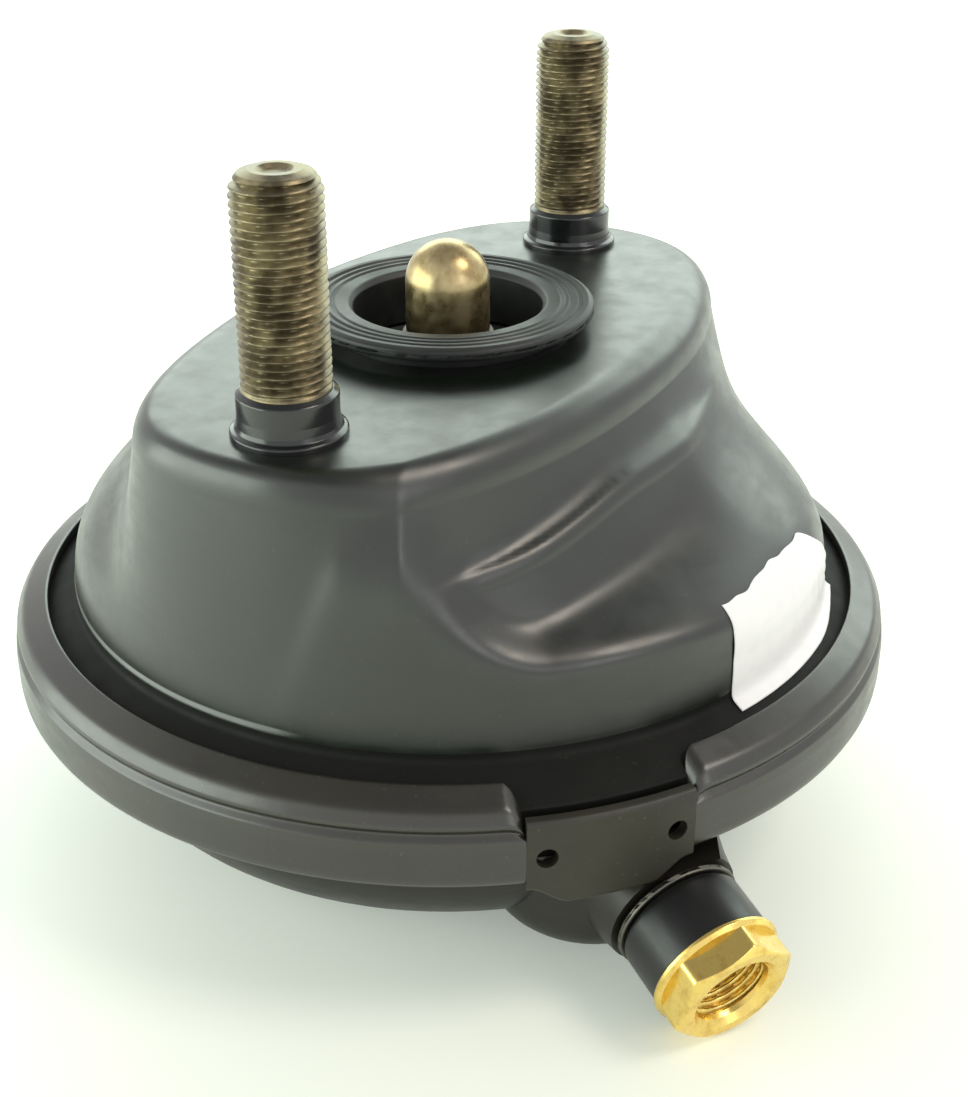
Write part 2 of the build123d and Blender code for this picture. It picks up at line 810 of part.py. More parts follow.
def make_return_spring():
    """Conical coil between the spring seat and the push plate."""
    top = seat_top() - seat_thickness - spring_wire_radius - running_gap / 4.0
    low = plate_bottom() + plate_thickness + spring_wire_radius + running_gap / 4.0
    height = top - low
    cone = -math.degrees(math.atan((spring_large_radius - spring_small_radius) / height))
    path = Helix(height / spring_turns, height, spring_large_radius, cone_angle=cone)
    start = path @ 0
    section = Plane(origin=start, z_dir=path % 0) * Circle(spring_wire_radius)
    coil = sweep(section, path=path, is_frenet=True)
    return Pos(0, 0, low) * coil


parts = {
    "bonnet": make_bonnet(),
    "pressure_housing": make_pressure_housing(),
    "clamp_ring": make_clamp_ring(),
    "clamp_joint_plate": make_joint_plate(),
    "diaphragm": make_diaphragm(),
    "boot_seal": make_boot_seal(),
    "bellows": make_bellows(),
    "spring_seat": make_spring_seat(),
    "return_spring": make_return_spring(),
    "push_plate": make_push_plate(),
    "plate_boss": make_plate_boss(),
    "push_rod": make_push_rod(),
    "rod_clip": make_rod_clip(),
    "rod_sleeve": make_rod_sleeve(),
    "port_neck": make_port_neck(),
    "port_washer": make_port_washer(),
    "port_body": make_port_body(),
    "port_adapter": make_port_adapter(),
    "port_o_ring": make_o_ring(),
    "drain_plug": make_drain_plug(),
}
for side, place in stud_places.items():
    parts["stud_" + side] = make_stud(place)
    parts["stud_washer_" + side] = make_stud_washer(place)

for name, shape in parts.items():
    export_step(shape, "parts/" + name + ".step")
    print(name, round(shape.volume, 1))
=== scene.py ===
import bmesh
import bpy
import math
import numpy as np
from mathutils import Matrix, Vector


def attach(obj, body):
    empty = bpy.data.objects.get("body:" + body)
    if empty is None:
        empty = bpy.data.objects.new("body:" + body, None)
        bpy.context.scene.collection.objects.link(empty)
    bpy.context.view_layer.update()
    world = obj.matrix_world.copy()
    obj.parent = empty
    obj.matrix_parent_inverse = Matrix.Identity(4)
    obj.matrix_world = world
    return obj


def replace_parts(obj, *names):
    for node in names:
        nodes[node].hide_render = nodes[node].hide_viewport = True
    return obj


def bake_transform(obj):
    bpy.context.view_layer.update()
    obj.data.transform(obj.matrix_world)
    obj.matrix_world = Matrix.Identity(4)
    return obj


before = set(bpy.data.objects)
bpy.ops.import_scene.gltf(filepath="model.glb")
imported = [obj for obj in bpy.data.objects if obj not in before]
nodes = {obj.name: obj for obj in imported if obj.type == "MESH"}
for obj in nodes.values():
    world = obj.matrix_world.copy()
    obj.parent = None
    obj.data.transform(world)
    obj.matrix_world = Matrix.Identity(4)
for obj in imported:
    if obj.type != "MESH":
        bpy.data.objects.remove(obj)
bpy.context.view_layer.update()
print("frame: %d nodes" % len(nodes))

# Lengths below are in millimetres and angles in degrees, as on the drawing of the chamber.
# toMetres turns the lengths once, where a mesh is made.
toMetres = 0.001
fullTurn = 2.0 * math.pi


# Materials

def linearColour(hexText):
    # sRGB hex to linear: the standard curve, a straight toe and then a power of 2.4
    srgb = np.array([int(hexText[i:i + 2], 16) for i in (1, 3, 5)]) / 255.0
    linear = np.where(srgb <= 0.04045, srgb / 12.92, ((srgb + 0.055) / 1.055) ** 2.4)
    return (*linear.tolist(), 1.0)


def addNode(tree, kind, sockets=(), **settings):
    # One node with its settings. Its sockets are named, or given in the node's own order. A value
    # that is a socket is linked, a text is a hex colour, and any other value is set.
    node = tree.nodes.new(kind)
    for key, value in settings.items():
        setattr(node, key, value)
    named = sockets if isinstance(sockets, dict) else dict(enumerate(sockets))
    for key, value in named.items():
        if isinstance(value, bpy.types.NodeSocket):
            tree.links.new(value, node.inputs[key])
        elif isinstance(value, str):
            node.inputs[key].default_value = linearColour(value)
        else:
            node.inputs[key].default_value = value
    return node


def startMaterial(name):
    # an empty node tree and the object's own coordinates
    material = bpy.data.materials.new(name)
    material.use_nodes = True
    tree = material.node_tree
    tree.nodes.clear()
    return material, tree, addNode(tree, "ShaderNodeTexCoord").outputs["Object"]


def endMaterial(tree, sockets):
    # the surface shader with what a finish sets on it, and the output
    shader = addNode(tree, "ShaderNodeBsdfPrincipled", sockets)
    addNode(tree, "ShaderNodeOutputMaterial", {"Surface": shader.outputs[0]})


def makeFinish(name, finish):
    # Two colours in blotches, a gloss that varies from spot to spot, and where given some dust and
    # a fine relief. Each pattern is cloudy noise: (size in mm, detail, roughness, stretch). Each
    # span is a smooth step: (from low, from high, to low, to high).
    material, tree, place = startMaterial(name)
    cloud = {}
    for part in ("blotch", "rub", "dust", "relief"):
        if part in finish:
            sizeMm, detail, fineness, stretch = finish[part]
            scaled = addNode(tree, "ShaderNodeMapping", {"Vector": place, "Scale": stretch})
            cloud[part] = addNode(tree, "ShaderNodeTexNoise", {
                "Vector": scaled.outputs[0], "Scale": 1.0 / (sizeMm * toMetres), "Detail": detail,
                "Roughness": fineness,
            }).outputs["Fac"]
    step = {}
    for part, source in (("blotch", "blotch"), ("rub", finish["rubSource"]), ("dust", "dust")):
        if part + "Span" in finish:
            step[part] = addNode(
                tree, "ShaderNodeMapRange", (cloud[source], *finish[part + "Span"]),
                interpolation_type="SMOOTHSTEP",
            ).outputs["Result"]
    deep, pale = finish["colours"]
    colour = addNode(tree, "ShaderNodeMix", {
        0: step.get("blotch", cloud["blotch"]), 6: deep, 7: pale,
    }, data_type="RGBA").outputs[2]
    if "dust" in step:
        colour = addNode(tree, "ShaderNodeMix", {
            0: step["dust"], 6: colour, 7: finish["dustColour"],
        }, data_type="RGBA").outputs[2]
    sockets = {"Base Color": colour, "Roughness": step["rub"], **finish.get("constants", {})}
    if "relief" in cloud:
        depthMm, strength = finish["reliefDepth"]
        sockets["Normal"] = addNode(tree, "ShaderNodeBump", {
            "Height": cloud["relief"], "Distance": depthMm * toMetres, "Strength": strength,
        }).outputs["Normal"]
    endMaterial(tree, sockets)
    return material


evenly = (1.0, 1.0, 1.0)

# Cathodic electro-coat on drawn steel: a thin even paint that was baked. It shows soft mirror-like
# bands, a fine orange peel, faint pale dust and rubbed patches.
electroCoat = {
    "blotch": (38.0, 4.0, 0.55, evenly), "blotchSpan": (0.35, 0.7, 0.0, 1.0),
    "rub": (7.0, 5.0, 0.65, (1.0, 1.0, 2.2)), "rubSource": "rub",
    "dust": (0.9, 2.0, 0.55, evenly), "dustColour": "#5a5850",
    "relief": (1.6, 2.0, 0.55, evenly), "reliefDepth": (0.02, 0.35),
}


def electroCoatedSteel(name, deep, pale, gloss, dust, mirror):
    # the coat of one piece: its two colours, least roughness, share of dust and mirror level
    return makeFinish(name, {
        **electroCoat, "colours": (deep, pale), "rubSpan": (0.3, 0.75, gloss, gloss + 0.1),
        "dustSpan": (0.66, 0.78, 0.0, dust), "constants": {"Specular IOR Level": mirror},
    })


def mouldedRubber(name, dark, pale, gloss):
    # Moulded natural rubber: matt black with a grey bloom and a fine pebbled skin.
    return makeFinish(name, {
        "blotch": (9.0, 4.0, 0.55, evenly), "blotchSpan": (0.4, 0.75, 0.0, 1.0), "colours": (dark, pale),
        "rubSource": "blotch", "rubSpan": (0.3, 0.7, gloss, gloss + 0.12),
        "relief": (0.5, 2.0, 0.55, evenly), "reliefDepth": (0.03, 0.35),
    })


coatBonnet = electroCoatedSteel("satinElectroCoatBonnet", "#081007", "#0f170e", 0.29, 0.22, 0.88)
coatHousing = electroCoatedSteel("satinElectroCoatHousing", "#1b1914", "#24211a", 0.36, 0.3, 0.5)
coatRing = electroCoatedSteel("satinElectroCoatRing", "#1c1b14", "#262319", 0.27, 0.4, 0.9)
coatPlate = electroCoatedSteel("roughElectroCoatPlate", "#26251d", "#322f25", 0.42, 0.6, 0.5)
coatPort = electroCoatedSteel("smoothElectroCoatPort", "#0b0d0c", "#121413", 0.3, 0.12, 0.5)
# a dark, dull coat that stands in for the shade in the gap under the ring's lip: painted shade
coatPaintedShadeUnderRing = electroCoatedSteel("paintedShadeUnderRingLip", "#0e0f0d", "#141512", 0.6, 0.15, 0.2)
coatCollar = electroCoatedSteel("glossyElectroCoatCollar", "#0c0e0e", "#151818", 0.16, 0.1, 0.7)

# Rolled steel thread under an olive bronze zinc flake coat: metallic, warm, dull in the roots.
threadOlive = makeFinish("oliveFlakeCoatedThread", {
    "blotch": (5.0, 4.0, 0.55, evenly), "blotchSpan": (0.35, 0.68, 0.0, 1.0),
    "colours": ("#5e5542", "#958a6c"), "rubSource": "blotch", "rubSpan": (0.3, 0.7, 0.3, 0.46),
    "relief": (0.6, 2.0, 0.55, evenly), "reliefDepth": (0.02, 0.4), "constants": {"Metallic": 0.75},
})

# Turned rod tip with yellow passivated zinc: brownish gold metal with faint turning rings.
rodGold = makeFinish("yellowPassivatedZinc", {
    "blotch": (4.0, 4.0, 0.55, evenly), "blotchSpan": (0.35, 0.7, 0.0, 1.0),
    "colours": ("#a08c62", "#c2b086"), "rubSource": "blotch", "rubSpan": (0.3, 0.7, 0.24, 0.36),
    "relief": (0.8, 2.0, 0.5, (0.02, 0.02, 1.0)), "reliefDepth": (0.02, 0.5), "constants": {"Metallic": 0.9},
})

rubberSeal = mouldedRubber("mouldedRubberSeal", "#1c1f1e", "#2b2f2d", 0.42)
rubberBellows = mouldedRubber("mouldedRubberBellows", "#0f1010", "#171919", 0.6)

# Bar-turned brass left bare: bright yellow metal with fine tool lines and a few dull spots.
brassBare = makeFinish("turnedBareBrass", {
    "blotch": (3.0, 4.0, 0.55, evenly), "blotchSpan": (0.45, 0.75, 0.0, 1.0),
    "colours": ("#f0d27a", "#d4b260"), "rubSource": "blotch", "rubSpan": (0.3, 0.7, 0.2, 0.34),
    "relief": (0.4, 2.0, 0.55, evenly), "reliefDepth": (0.01, 0.4), "constants": {"Metallic": 1.0},
})

# Turned steel left under a film of oil: grey, with streaks along the turning.
steelBright = makeFinish("brightTurnedSteel", {
    "blotch": (0.7, 2.0, 0.5, (1.0, 1.0, 0.05)), "colours": ("#5c5a54", "#78756d"),
    "rubSource": "blotch", "rubSpan": (0.3, 0.7, 0.38, 0.48), "constants": {"Metallic": 1.0},
})

# White polyester film sticker, a little dirty, with soft grey wrinkles and no print.
whiteFilm = makeFinish("whiteFilmSticker", {
    "blotch": (6.0, 4.0, 0.55, evenly), "blotchSpan": (0.5, 0.85, 0.0, 0.5),
    "colours": ("#ffffff", "#edebf1"), "rubSource": "blotch", "rubSpan": (0.3, 0.7, 0.35, 0.5),
    "relief": (9.0, 2.0, 0.55, evenly), "reliefDepth": (0.35, 0.5),
})
print("materials ready")


# Meshes from grids

arcSizes = {"points": 6, "sideShare": 0.45, "support": 0.6, "supportLeast": 0.05, "supportShare": 0.25}


def smoothStep(value, low, high):
    share = np.clip((value - low) / (high - low), 0.0, 1.0)
    return share * share * (3.0 - 2.0 * share)


def window(value, edges):
    # weight that fades in between the first two edges and out between the last two
    return smoothStep(value, edges[0], edges[1]) * (1.0 - smoothStep(value, edges[2], edges[3]))


def softMax(blend, *values):
    # largest of some arrays, rounded where they cross: blend times the log of summed exponentials
    top = np.maximum.reduce(values)
    return top + blend * np.log(sum(np.exp((value - top) / blend) for value in values))


def softMin(blend, *values):
    return -softMax(blend, *[-value for value in values])


def softRamp(value, blend):
    # zero below zero and the value above it, rounded between: blend times log(1 + exp(value / blend))
    return blend * np.logaddexp(0.0, value / blend)


def roundedProfile(corners, closed=True):
    # A path of (radius, height, rounding) corners with each corner turned into an arc. The arc is
    # a blend of the two tangent points and the corner, (1-s)^2 a + 2s(1-s) c + s^2 b.
    size = arcSizes
    spots = np.array([corner[:2] for corner in corners], float)
    radii = np.array([corner[2] for corner in corners], float)
    before, after = np.roll(spots, 1, 0) - spots, np.roll(spots, -1, 0) - spots
    lengthBefore = np.linalg.norm(before, axis=1)
    lengthAfter = np.linalg.norm(after, axis=1)
    before, after = before / lengthBefore[:, None], after / lengthAfter[:, None]
    cosTurn = np.clip((before * after).sum(1), -0.9999, 0.9999)
    reach = radii / np.tan(np.arccos(cosTurn) / 2.0)
    reach = np.minimum(reach, size["sideShare"] * np.minimum(lengthBefore, lengthAfter))
    if not closed:
        reach[[0, -1]] = 0.0
    share = np.linspace(0.0, 1.0, size["points"])[None, :, None]
    start = (spots + before * reach[:, None])[:, None, :]
    end = (spots + after * reach[:, None])[:, None, :]
    middle = spots[:, None, :]
    arcs = (1 - share) ** 2 * start + 2 * share * (1 - share) * middle + share ** 2 * end
    # a support point on each straight run keeps its shading flat
    away = reach * size["support"] + size["supportLeast"]
    awayBefore = np.minimum(away, size["supportShare"] * lengthBefore)
    awayAfter = np.minimum(away, size["supportShare"] * lengthAfter)
    lead = start + before[:, None, :] * awayBefore[:, None, None]
    tail = end + after[:, None, :] * awayAfter[:, None, None]
    path = np.concatenate([lead, arcs, tail], 1)
    if not closed:
        path[0, :-1], path[-1, 1:] = spots[0], spots[-1]
    path = path.reshape(-1, 2)
    keep = np.linalg.norm(path - np.roll(path, 1, 0), axis=1) > 1e-5
    if not closed:
        keep[0] = True
    return path[keep]


def densePath(path, step):
    # extra points along an open path, so that a long straight run can bend: the way along it
    # is cut at every step and at each point that it had
    way = np.concatenate([[0.0], np.cumsum(np.linalg.norm(np.diff(path, axis=0), axis=1))])
    stops = np.unique(np.concatenate([way, np.arange(0.0, way[-1], step)]))
    return np.stack([np.interp(stops, way, path[:, 0]), np.interp(stops, way, path[:, 1])], 1)


def evenTurns(count):
    # the angles of a whole turn, in radians, one row each
    return np.linspace(0.0, fullTurn, count, endpoint=False)[:, None]


def fromPolar(radius, angle, height):
    # points about Z: x = r cos a, y = r sin a, z = height
    return np.stack(np.broadcast_arrays(radius * np.cos(angle), radius * np.sin(angle), height), -1)


def revolved(path, count):
    # a path of (radius, height) carried round Z
    return fromPolar(path[None, :, 0], evenTurns(count), path[None, :, 1])


def stretchedOver(rows, *bands):
    # bands side by side, each given as one row for all angles or as a row for each of them
    return np.concatenate([np.broadcast_to(band, (rows, np.shape(band)[-1])) for band in bands], 1)


def gridPiece(name, points, closeRows, closeColumns, material, body, capEnds=False):
    # A mesh from a grid of points: neighbours in the grid are joined by four-sided faces, rows or
    # columns wrap round where asked, doubles at poles are merged and the faces turned outwards.
    rows, columns = points.shape[:2]
    index = np.arange(rows * columns).reshape(rows, columns)
    if closeRows:
        index = np.concatenate([index, index[:1]], 0)
    if closeColumns:
        index = np.concatenate([index, index[:, :1]], 1)
    quads = np.stack([index[:-1, :-1], index[1:, :-1], index[1:, 1:], index[:-1, 1:]], -1)
    faces = quads.reshape(-1, 4).tolist()
    if capEnds:
        faces += [np.arange(columns).tolist(), (np.arange(columns) + (rows - 1) * columns).tolist()]
    mesh = bpy.data.meshes.new(name)
    mesh.from_pydata((points.reshape(-1, 3) * toMetres).tolist(), [], faces)
    work = bmesh.new()
    work.from_mesh(mesh)
    bmesh.ops.remove_doubles(work, verts=work.verts, dist=1e-7)
    bmesh.ops.recalc_face_normals(work, faces=work.faces)
    work.to_mesh(mesh)
    work.free()
    mesh.shade_smooth()
    piece = bpy.data.objects.new(name, mesh)
    bpy.context.scene.collection.objects.link(piece)
    piece.data.materials.append(material)
    if body:
        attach(piece, body)
    return piece


def sharpEdges(piece, degrees):
    # edges that turn by more than this many degrees stay crisp
    piece.data.set_sharp_from_angle(angle=math.radians(degrees))


def turnedPiece(name, corners, material, body, place=None, count=128):
    # A closed profile carried round the axis, and then turned and moved to its place
    points = revolved(roundedProfile(corners), count)
    if place is not None:
        points = points @ place[0].T + place[1]
    return gridPiece(name, points, True, True, material, body)


# The bonnet: one radius formula, shared by the land, the walls, the ledge and the bowl

bonnetSizes = {
    "sheet": 3.0, "holeRadius": 24.3,
    "landHalfLength": 74.0, "landHalfWidth": 38.5, "landPower": 2.35, "landSkew": -2.5,
    "landEdge": 7.0, "endDraft": 0.12, "sideDraft": 0.55, "topSlope": 3.0,
    "bowlRadius": 79.3, "bowlDepth": 49.5, "bowlDraft": 0.02, "shoulderBlend": 3.2,
    "coneTop": 39.5, "coneSlope": 1.0, "blend": 2.6,
    "shelfTop": 25.25, "shelfSlope": 1.45, "shelfTurns": (50.0, 92.0, 158.0, 176.0),
    "pocketRim": 76.0, "pocketDepth": 32.6, "pocketRise": 21.0, "pocketRiseTurn": 139.0,
    "pocketRiseSpan": 20.0, "pocketSlopes": (3.2, 1.0), "pocketSlopeTurns": (141.0, 156.0),
    "pocketTurns": (92.0, 132.0, 166.0, 178.0),
    "ledgeDrop": 13.2, "ledgeEdge": 3.5, "ledgeDraft": 0.45, "ledgeFall": 6.5,
    "ledgeFallTurns": (112.0, 154.0), "ledgeLines": ((55.0, 100.5), (50.0, 70.0)), "ledgeBlend": 1.5,
    "lineFacing": 0.3, "beyondLine": 1000.0,
    "ledgeOverhang": 8.0, "ledgeLoss": 0.35, "ledgeLossTurns": (135.0, 155.0),
    "ledgeTurns": (28.0, 70.0, 150.0, 174.0), "ledgeWithdrawal": 110.0,
    "flangeDrop": 2.8, "flangeAngle": 25.0, "flangeRadius": 88.6, "flangeBend": (1.6, 3.0),
    # the last entry sets how far above the flange's top the painted shade under the ring's lip reaches
    "flangeEdge": 0.5, "innerFoot": 0.5, "paintedShadeRise": 1.7,
}
bonnetGrid = {
    "angles": 480, "crowding": 23.0, "crowdedAngle": -115.0, "landRows": 8, "wallRows": 136,
    "innerRows": 24, "underRows": 4, "rowPower": 1.4,
}


def edgeProfile(edgeRadius, depth, draft, topSlope):
    # outward offset of a quarter-round edge, with a wall below it that leans out by draft per
    # millimetre, and above it a fall by topSlope per millimetre
    below = np.clip(depth, 0.0, None)
    inRound = np.clip(below, 0.0, edgeRadius)
    rounded = np.sqrt(np.clip(edgeRadius ** 2 - (edgeRadius - inRound) ** 2, 0.0, None))
    return rounded - edgeRadius + (below - inRound) * draft - topSlope * np.clip(-depth, 0.0, None)


def ledgeRadius(outline, turn, depth):
    # the ledge stands out from the land's oval, is cut back by straight lines and fades at its ends
    size = bonnetSizes
    loss = size["ledgeLoss"] * smoothStep(turn, *size["ledgeLossTurns"])
    reach = outline + size["landEdge"] + size["ledgeOverhang"] * (1.0 - loss)
    for lineReach, lineTurn in size["ledgeLines"]:
        facing = np.cos(np.radians(turn - lineTurn))
        line = lineReach / np.maximum(facing, size["lineFacing"])
        line = np.where(facing > size["lineFacing"], line, size["beyondLine"])
        reach = softMin(size["ledgeBlend"], reach, line)
    top = size["ledgeDrop"] + size["ledgeFall"] * smoothStep(turn, *size["ledgeFallTurns"])
    start, full, leave, end = size["ledgeTurns"]
    absent = (1.0 - smoothStep(turn, start, full)) ** 2 + smoothStep(turn, leave, end) ** 2
    edge = edgeProfile(size["ledgeEdge"], depth - top, size["ledgeDraft"], size["topSlope"])
    return reach + edge - size["ledgeWithdrawal"] * absent


def pocketRadius(turn, depth):
    # the pocket's flat floor, whose rim climbs with the square of the turn towards the -X end
    size = bonnetSizes
    riseSpan = size["pocketRiseSpan"]
    climbed = np.clip(turn - size["pocketRiseTurn"], 0.0, riseSpan) / riseSpan
    rimDepth = size["pocketDepth"] - size["pocketRise"] * climbed ** 2
    first, last = size["pocketSlopes"]
    slope = first + (last - first) * smoothStep(turn, *size["pocketSlopeTurns"])
    return np.maximum(size["pocketRim"] + slope * (depth - rimDepth), size["landEdge"])


def bonnetRadius(angle, depth):
    # Largest of the oval block, the bowl with its shelf and pocket, and the ledge, softly capped
    # by the bowl's wall. angle is in degrees about Z, depth in millimetres below the land, and a
    # turn is an angle from +X towards -Y.
    size = bonnetSizes
    angle, depth = np.broadcast_arrays(np.asarray(angle, float), np.asarray(depth, float))
    turn = -((angle + 180.0) % 360.0 - 180.0)
    skewed = np.radians(angle - size["landSkew"])
    power = size["landPower"]
    outline = (
        np.abs(np.cos(skewed) / size["landHalfLength"]) ** power
        + np.abs(np.sin(skewed) / size["landHalfWidth"]) ** power
    ) ** (-1.0 / power)
    draft = size["endDraft"] + size["sideDraft"] * np.sin(skewed) ** 2
    block = outline + size["landEdge"] + edgeProfile(size["landEdge"], depth, draft, size["topSlope"])
    dome = size["coneTop"] + size["coneSlope"] * depth
    shelf = size["shelfTop"] + size["shelfSlope"] * depth
    dome = dome + (shelf - dome) * window(turn, size["shelfTurns"])
    dome = dome + (pocketRadius(turn, depth) - dome) * window(turn, size["pocketTurns"])
    body = softMax(size["blend"], block, dome, ledgeRadius(outline, turn, depth))
    wall = size["bowlRadius"] - size["bowlDraft"] * (size["bowlDepth"] - depth)
    return softMin(size["shoulderBlend"], body, wall)


def bonnetInnerRadius(angle, depth):
    # one sheet inside the outer form, measured level, upright and on the slant
    sheet = bonnetSizes["sheet"]
    slant = sheet * math.sqrt(0.5)
    return np.minimum.reduce([
        bonnetRadius(angle, depth - sheet),
        bonnetRadius(angle, depth) - sheet,
        bonnetRadius(angle, depth - slant) - slant,
    ])


def coatLowFaces(piece, material, topHeight):
    # a second material on the faces whose highest corner lies below topHeight
    mesh = piece.data
    mesh.materials.append(material)
    places = np.empty(len(mesh.vertices) * 3)
    mesh.vertices.foreach_get("co", places)
    corners = np.empty(len(mesh.loops), np.int32)
    mesh.loops.foreach_get("vertex_index", corners)
    starts = np.empty(len(mesh.polygons), np.int32)
    mesh.polygons.foreach_get("loop_start", starts)
    highest = np.maximum.reduceat(places.reshape(-1, 3)[corners, 2], starts)
    mesh.polygons.foreach_set("material_index", (highest < topHeight * toMetres).astype(np.int32))


def makeBonnet():
    # For each angle one closed path: over the land, down the wall, out along the flange, and
    # back one sheet thickness inside. The angles lie closer together on the ledged side: each
    # even angle moves by the crowding times the sine of its distance from that side.
    size, grid = bonnetSizes, bonnetGrid
    angles = np.linspace(-180.0, 180.0, grid["angles"], endpoint=False)[:, None]
    angles = angles - grid["crowding"] * np.sin(np.radians(angles - grid["crowdedAngle"]))
    sheet, hole, bowlDepth = size["sheet"], size["holeRadius"], size["bowlDepth"]
    slope = math.tan(math.radians(size["flangeAngle"]))
    thick = sheet / math.cos(math.radians(size["flangeAngle"]))
    bowl, flange = size["bowlRadius"], size["flangeRadius"]
    flangeTop = -bowlDepth - size["flangeDrop"]
    flangeLow = flangeTop - slope * (flange - bowl)

    landRows, underRows = grid["landRows"], grid["underRows"]
    edge = bonnetRadius(angles, np.zeros_like(angles))
    landRadius = hole + (edge - hole) * np.linspace(0.0, 1.0, landRows + 1)[None, :-1]
    depths = bowlDepth * np.linspace(0.0, 1.0, grid["wallRows"])[None, :] ** grid["rowPower"]
    wallRadius = bonnetRadius(angles, depths)
    outerBend, innerBend = size["flangeBend"]
    bend = roundedProfile([
        (bowl, -bowlDepth, 0.0), (bowl, flangeTop, outerBend),
        (flange, flangeLow, size["flangeEdge"]), (flange, flangeLow - thick, size["flangeEdge"]),
        (bowl - sheet, flangeTop - thick + slope * sheet, innerBend), (bowl - sheet, -bowlDepth, 0.0),
    ], closed=False)[1:]
    innerShare = np.linspace(1.0, 0.0, grid["innerRows"])[None, :] ** grid["rowPower"]
    innerDepths = sheet + (bowlDepth - size["innerFoot"] - sheet) * innerShare
    innerRadius = bonnetInnerRadius(angles, innerDepths)
    underShare = np.linspace(1.0, 0.0, underRows + 1)[None, 1:]
    underRadius = hole + (innerRadius[:, -1:] - hole) * underShare

    radius = stretchedOver(len(angles), landRadius, wallRadius, bend[:, 0], innerRadius, underRadius)
    height = np.concatenate([
        np.zeros(landRows), -depths[0], bend[:, 1], -innerDepths[0], np.full(underRows, -sheet),
    ])
    points = fromPolar(radius, np.radians(angles), height[None, :])
    piece = gridPiece("bonnetSkin", points, True, True, coatBonnet, "chamber")
    # the flange and the wall's foot under the ring's lip get a dark, dull coat: painted shade for the gap
    # between the wall and the lip
    coatLowFaces(piece, coatPaintedShadeUnderRing, flangeTop + size["paintedShadeRise"])
    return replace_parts(piece, "bonnet")


bonnet = makeBonnet()
print("bonnet: %d points" % len(bonnet.data.vertices))


# Studs with rolled threads

studSizes = {
    "spacing": 120.65, "radius": 8.0, "pitch": 1.5, "threadDepth": 0.92, "grooveHalf": 0.42,
    "groovePower": 0.9, "rowsPerPitch": 10, "turns": 96,
    "top": 46.8, "tipDrop": 1.2, "taperFoot": 42.9, "taper": 1.1, "chamfer": 1.6, "chamferRise": 0.6,
    "tipRadius": 4.6, "dimpleRadius": 3.2, "dimpleSlope": 0.9, "dimple": 0.8,
    "threadFoot": 8.4, "threadFade": 1.6, "shoulderRadius": 8.95, "shoulderTop": 7.7, "neckRadius": 8.5,
    "headRadius": 12.0, "headLow": -8.5, "headTop": -3.1, "washerRadius": 10.5, "washerTop": 1.5,
}


def makeStud(name, node, x):
    # The thread is a radius that falls and rises once per pitch along a helix: height / pitch
    # minus turn. It fades out into the shoulder and narrows towards the rounded tip.
    size = studSizes
    turns = evenTurns(size["turns"])
    threadTop = size["top"] - size["tipDrop"]
    count = int((threadTop - size["threadFoot"]) / size["pitch"] * size["rowsPerPitch"])
    height = np.linspace(size["threadFoot"], threadTop, count)[None, :]
    phase = (height / size["pitch"] - turns / fullTurn) % 1.0
    flank = np.clip(1.0 - np.abs(phase - 0.5) / size["grooveHalf"], 0.0, 1.0)
    groove = size["threadDepth"] * flank ** size["groovePower"]
    groove = groove * smoothStep(height, size["threadFoot"], size["threadFoot"] + size["threadFade"])
    narrowed = np.clip(height - size["taperFoot"], 0.0, None) / (threadTop - size["taperFoot"])
    thread = size["radius"] - size["taper"] * narrowed ** 2 - groove
    washerTop = size["washerTop"] - 0.1
    foot = roundedProfile([
        (0.0, size["headLow"], 0.0), (size["headRadius"], size["headLow"], 0.8),
        (size["headRadius"], size["headTop"], 0.5), (size["neckRadius"], size["headTop"], 0.3),
        (size["neckRadius"], washerTop, 0.1), (size["shoulderRadius"], washerTop, 0.1),
        (size["shoulderRadius"], size["shoulderTop"], 0.7), (size["radius"], size["threadFoot"], 0.0),
    ], closed=False)[:-1]
    dimpleLow = size["top"] - size["dimple"]
    tip = roundedProfile([
        (size["radius"] - size["taper"], threadTop, 0.0),
        (size["radius"] - size["chamfer"], threadTop + size["chamferRise"], 0.6),
        (size["tipRadius"], size["top"], 0.6), (size["dimpleRadius"], size["top"], 0.4),
        (size["dimpleRadius"] - size["dimpleSlope"], dimpleLow, 0.6), (0.0, dimpleLow, 0.0),
    ], closed=False)[1:]
    radius = stretchedOver(len(turns), foot[:, 0], thread, tip[:, 0])
    levels = np.concatenate([foot[:, 1], height[0], tip[:, 1]])[None, :]
    points = fromPolar(radius, turns, levels) + np.array([x, 0.0, 0.0])
    piece = gridPiece(name, points, True, False, threadOlive, "chamber")
    sharpEdges(piece, 40.0)
    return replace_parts(piece, node)


def makeStudFoot(name, node, x):
    # the dark shoulder and the dished flange at the stud's foot, coated with the bonnet
    size = studSizes
    outer = size["shoulderRadius"] + 0.12
    corners = [
        (8.55, -0.05, 0.0), (size["washerRadius"], -0.05, 0.1), (size["washerRadius"], 1.1, 0.5),
        (size["shoulderRadius"] + 0.55, size["washerTop"], 0.4), (size["shoulderRadius"] + 0.3, 2.3, 0.5),
        (outer, 4.0, 1.0), (outer, size["shoulderTop"] + 0.05, 0.5), (size["radius"] + 0.12, 8.5, 0.1),
        (7.6, 8.5, 0.0), (7.6, 6.0, 0.0), (8.55, 6.0, 0.0),
    ]
    place = (np.eye(3), np.array([x, 0.0, 0.0]))
    piece = turnedPiece(name, corners, coatCollar, "chamber", place, size["turns"])
    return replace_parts(piece, node)


for side, x in (("Front", -studSizes["spacing"] / 2.0), ("Rear", studSizes["spacing"] / 2.0)):
    makeStud("threadedStud" + side, "stud_" + side.lower(), x)
    makeStudFoot("studFoot" + side, "stud_washer_" + side.lower(), x)
print("studs ready")


# Boot seal, bellows, rod, diaphragm and spring

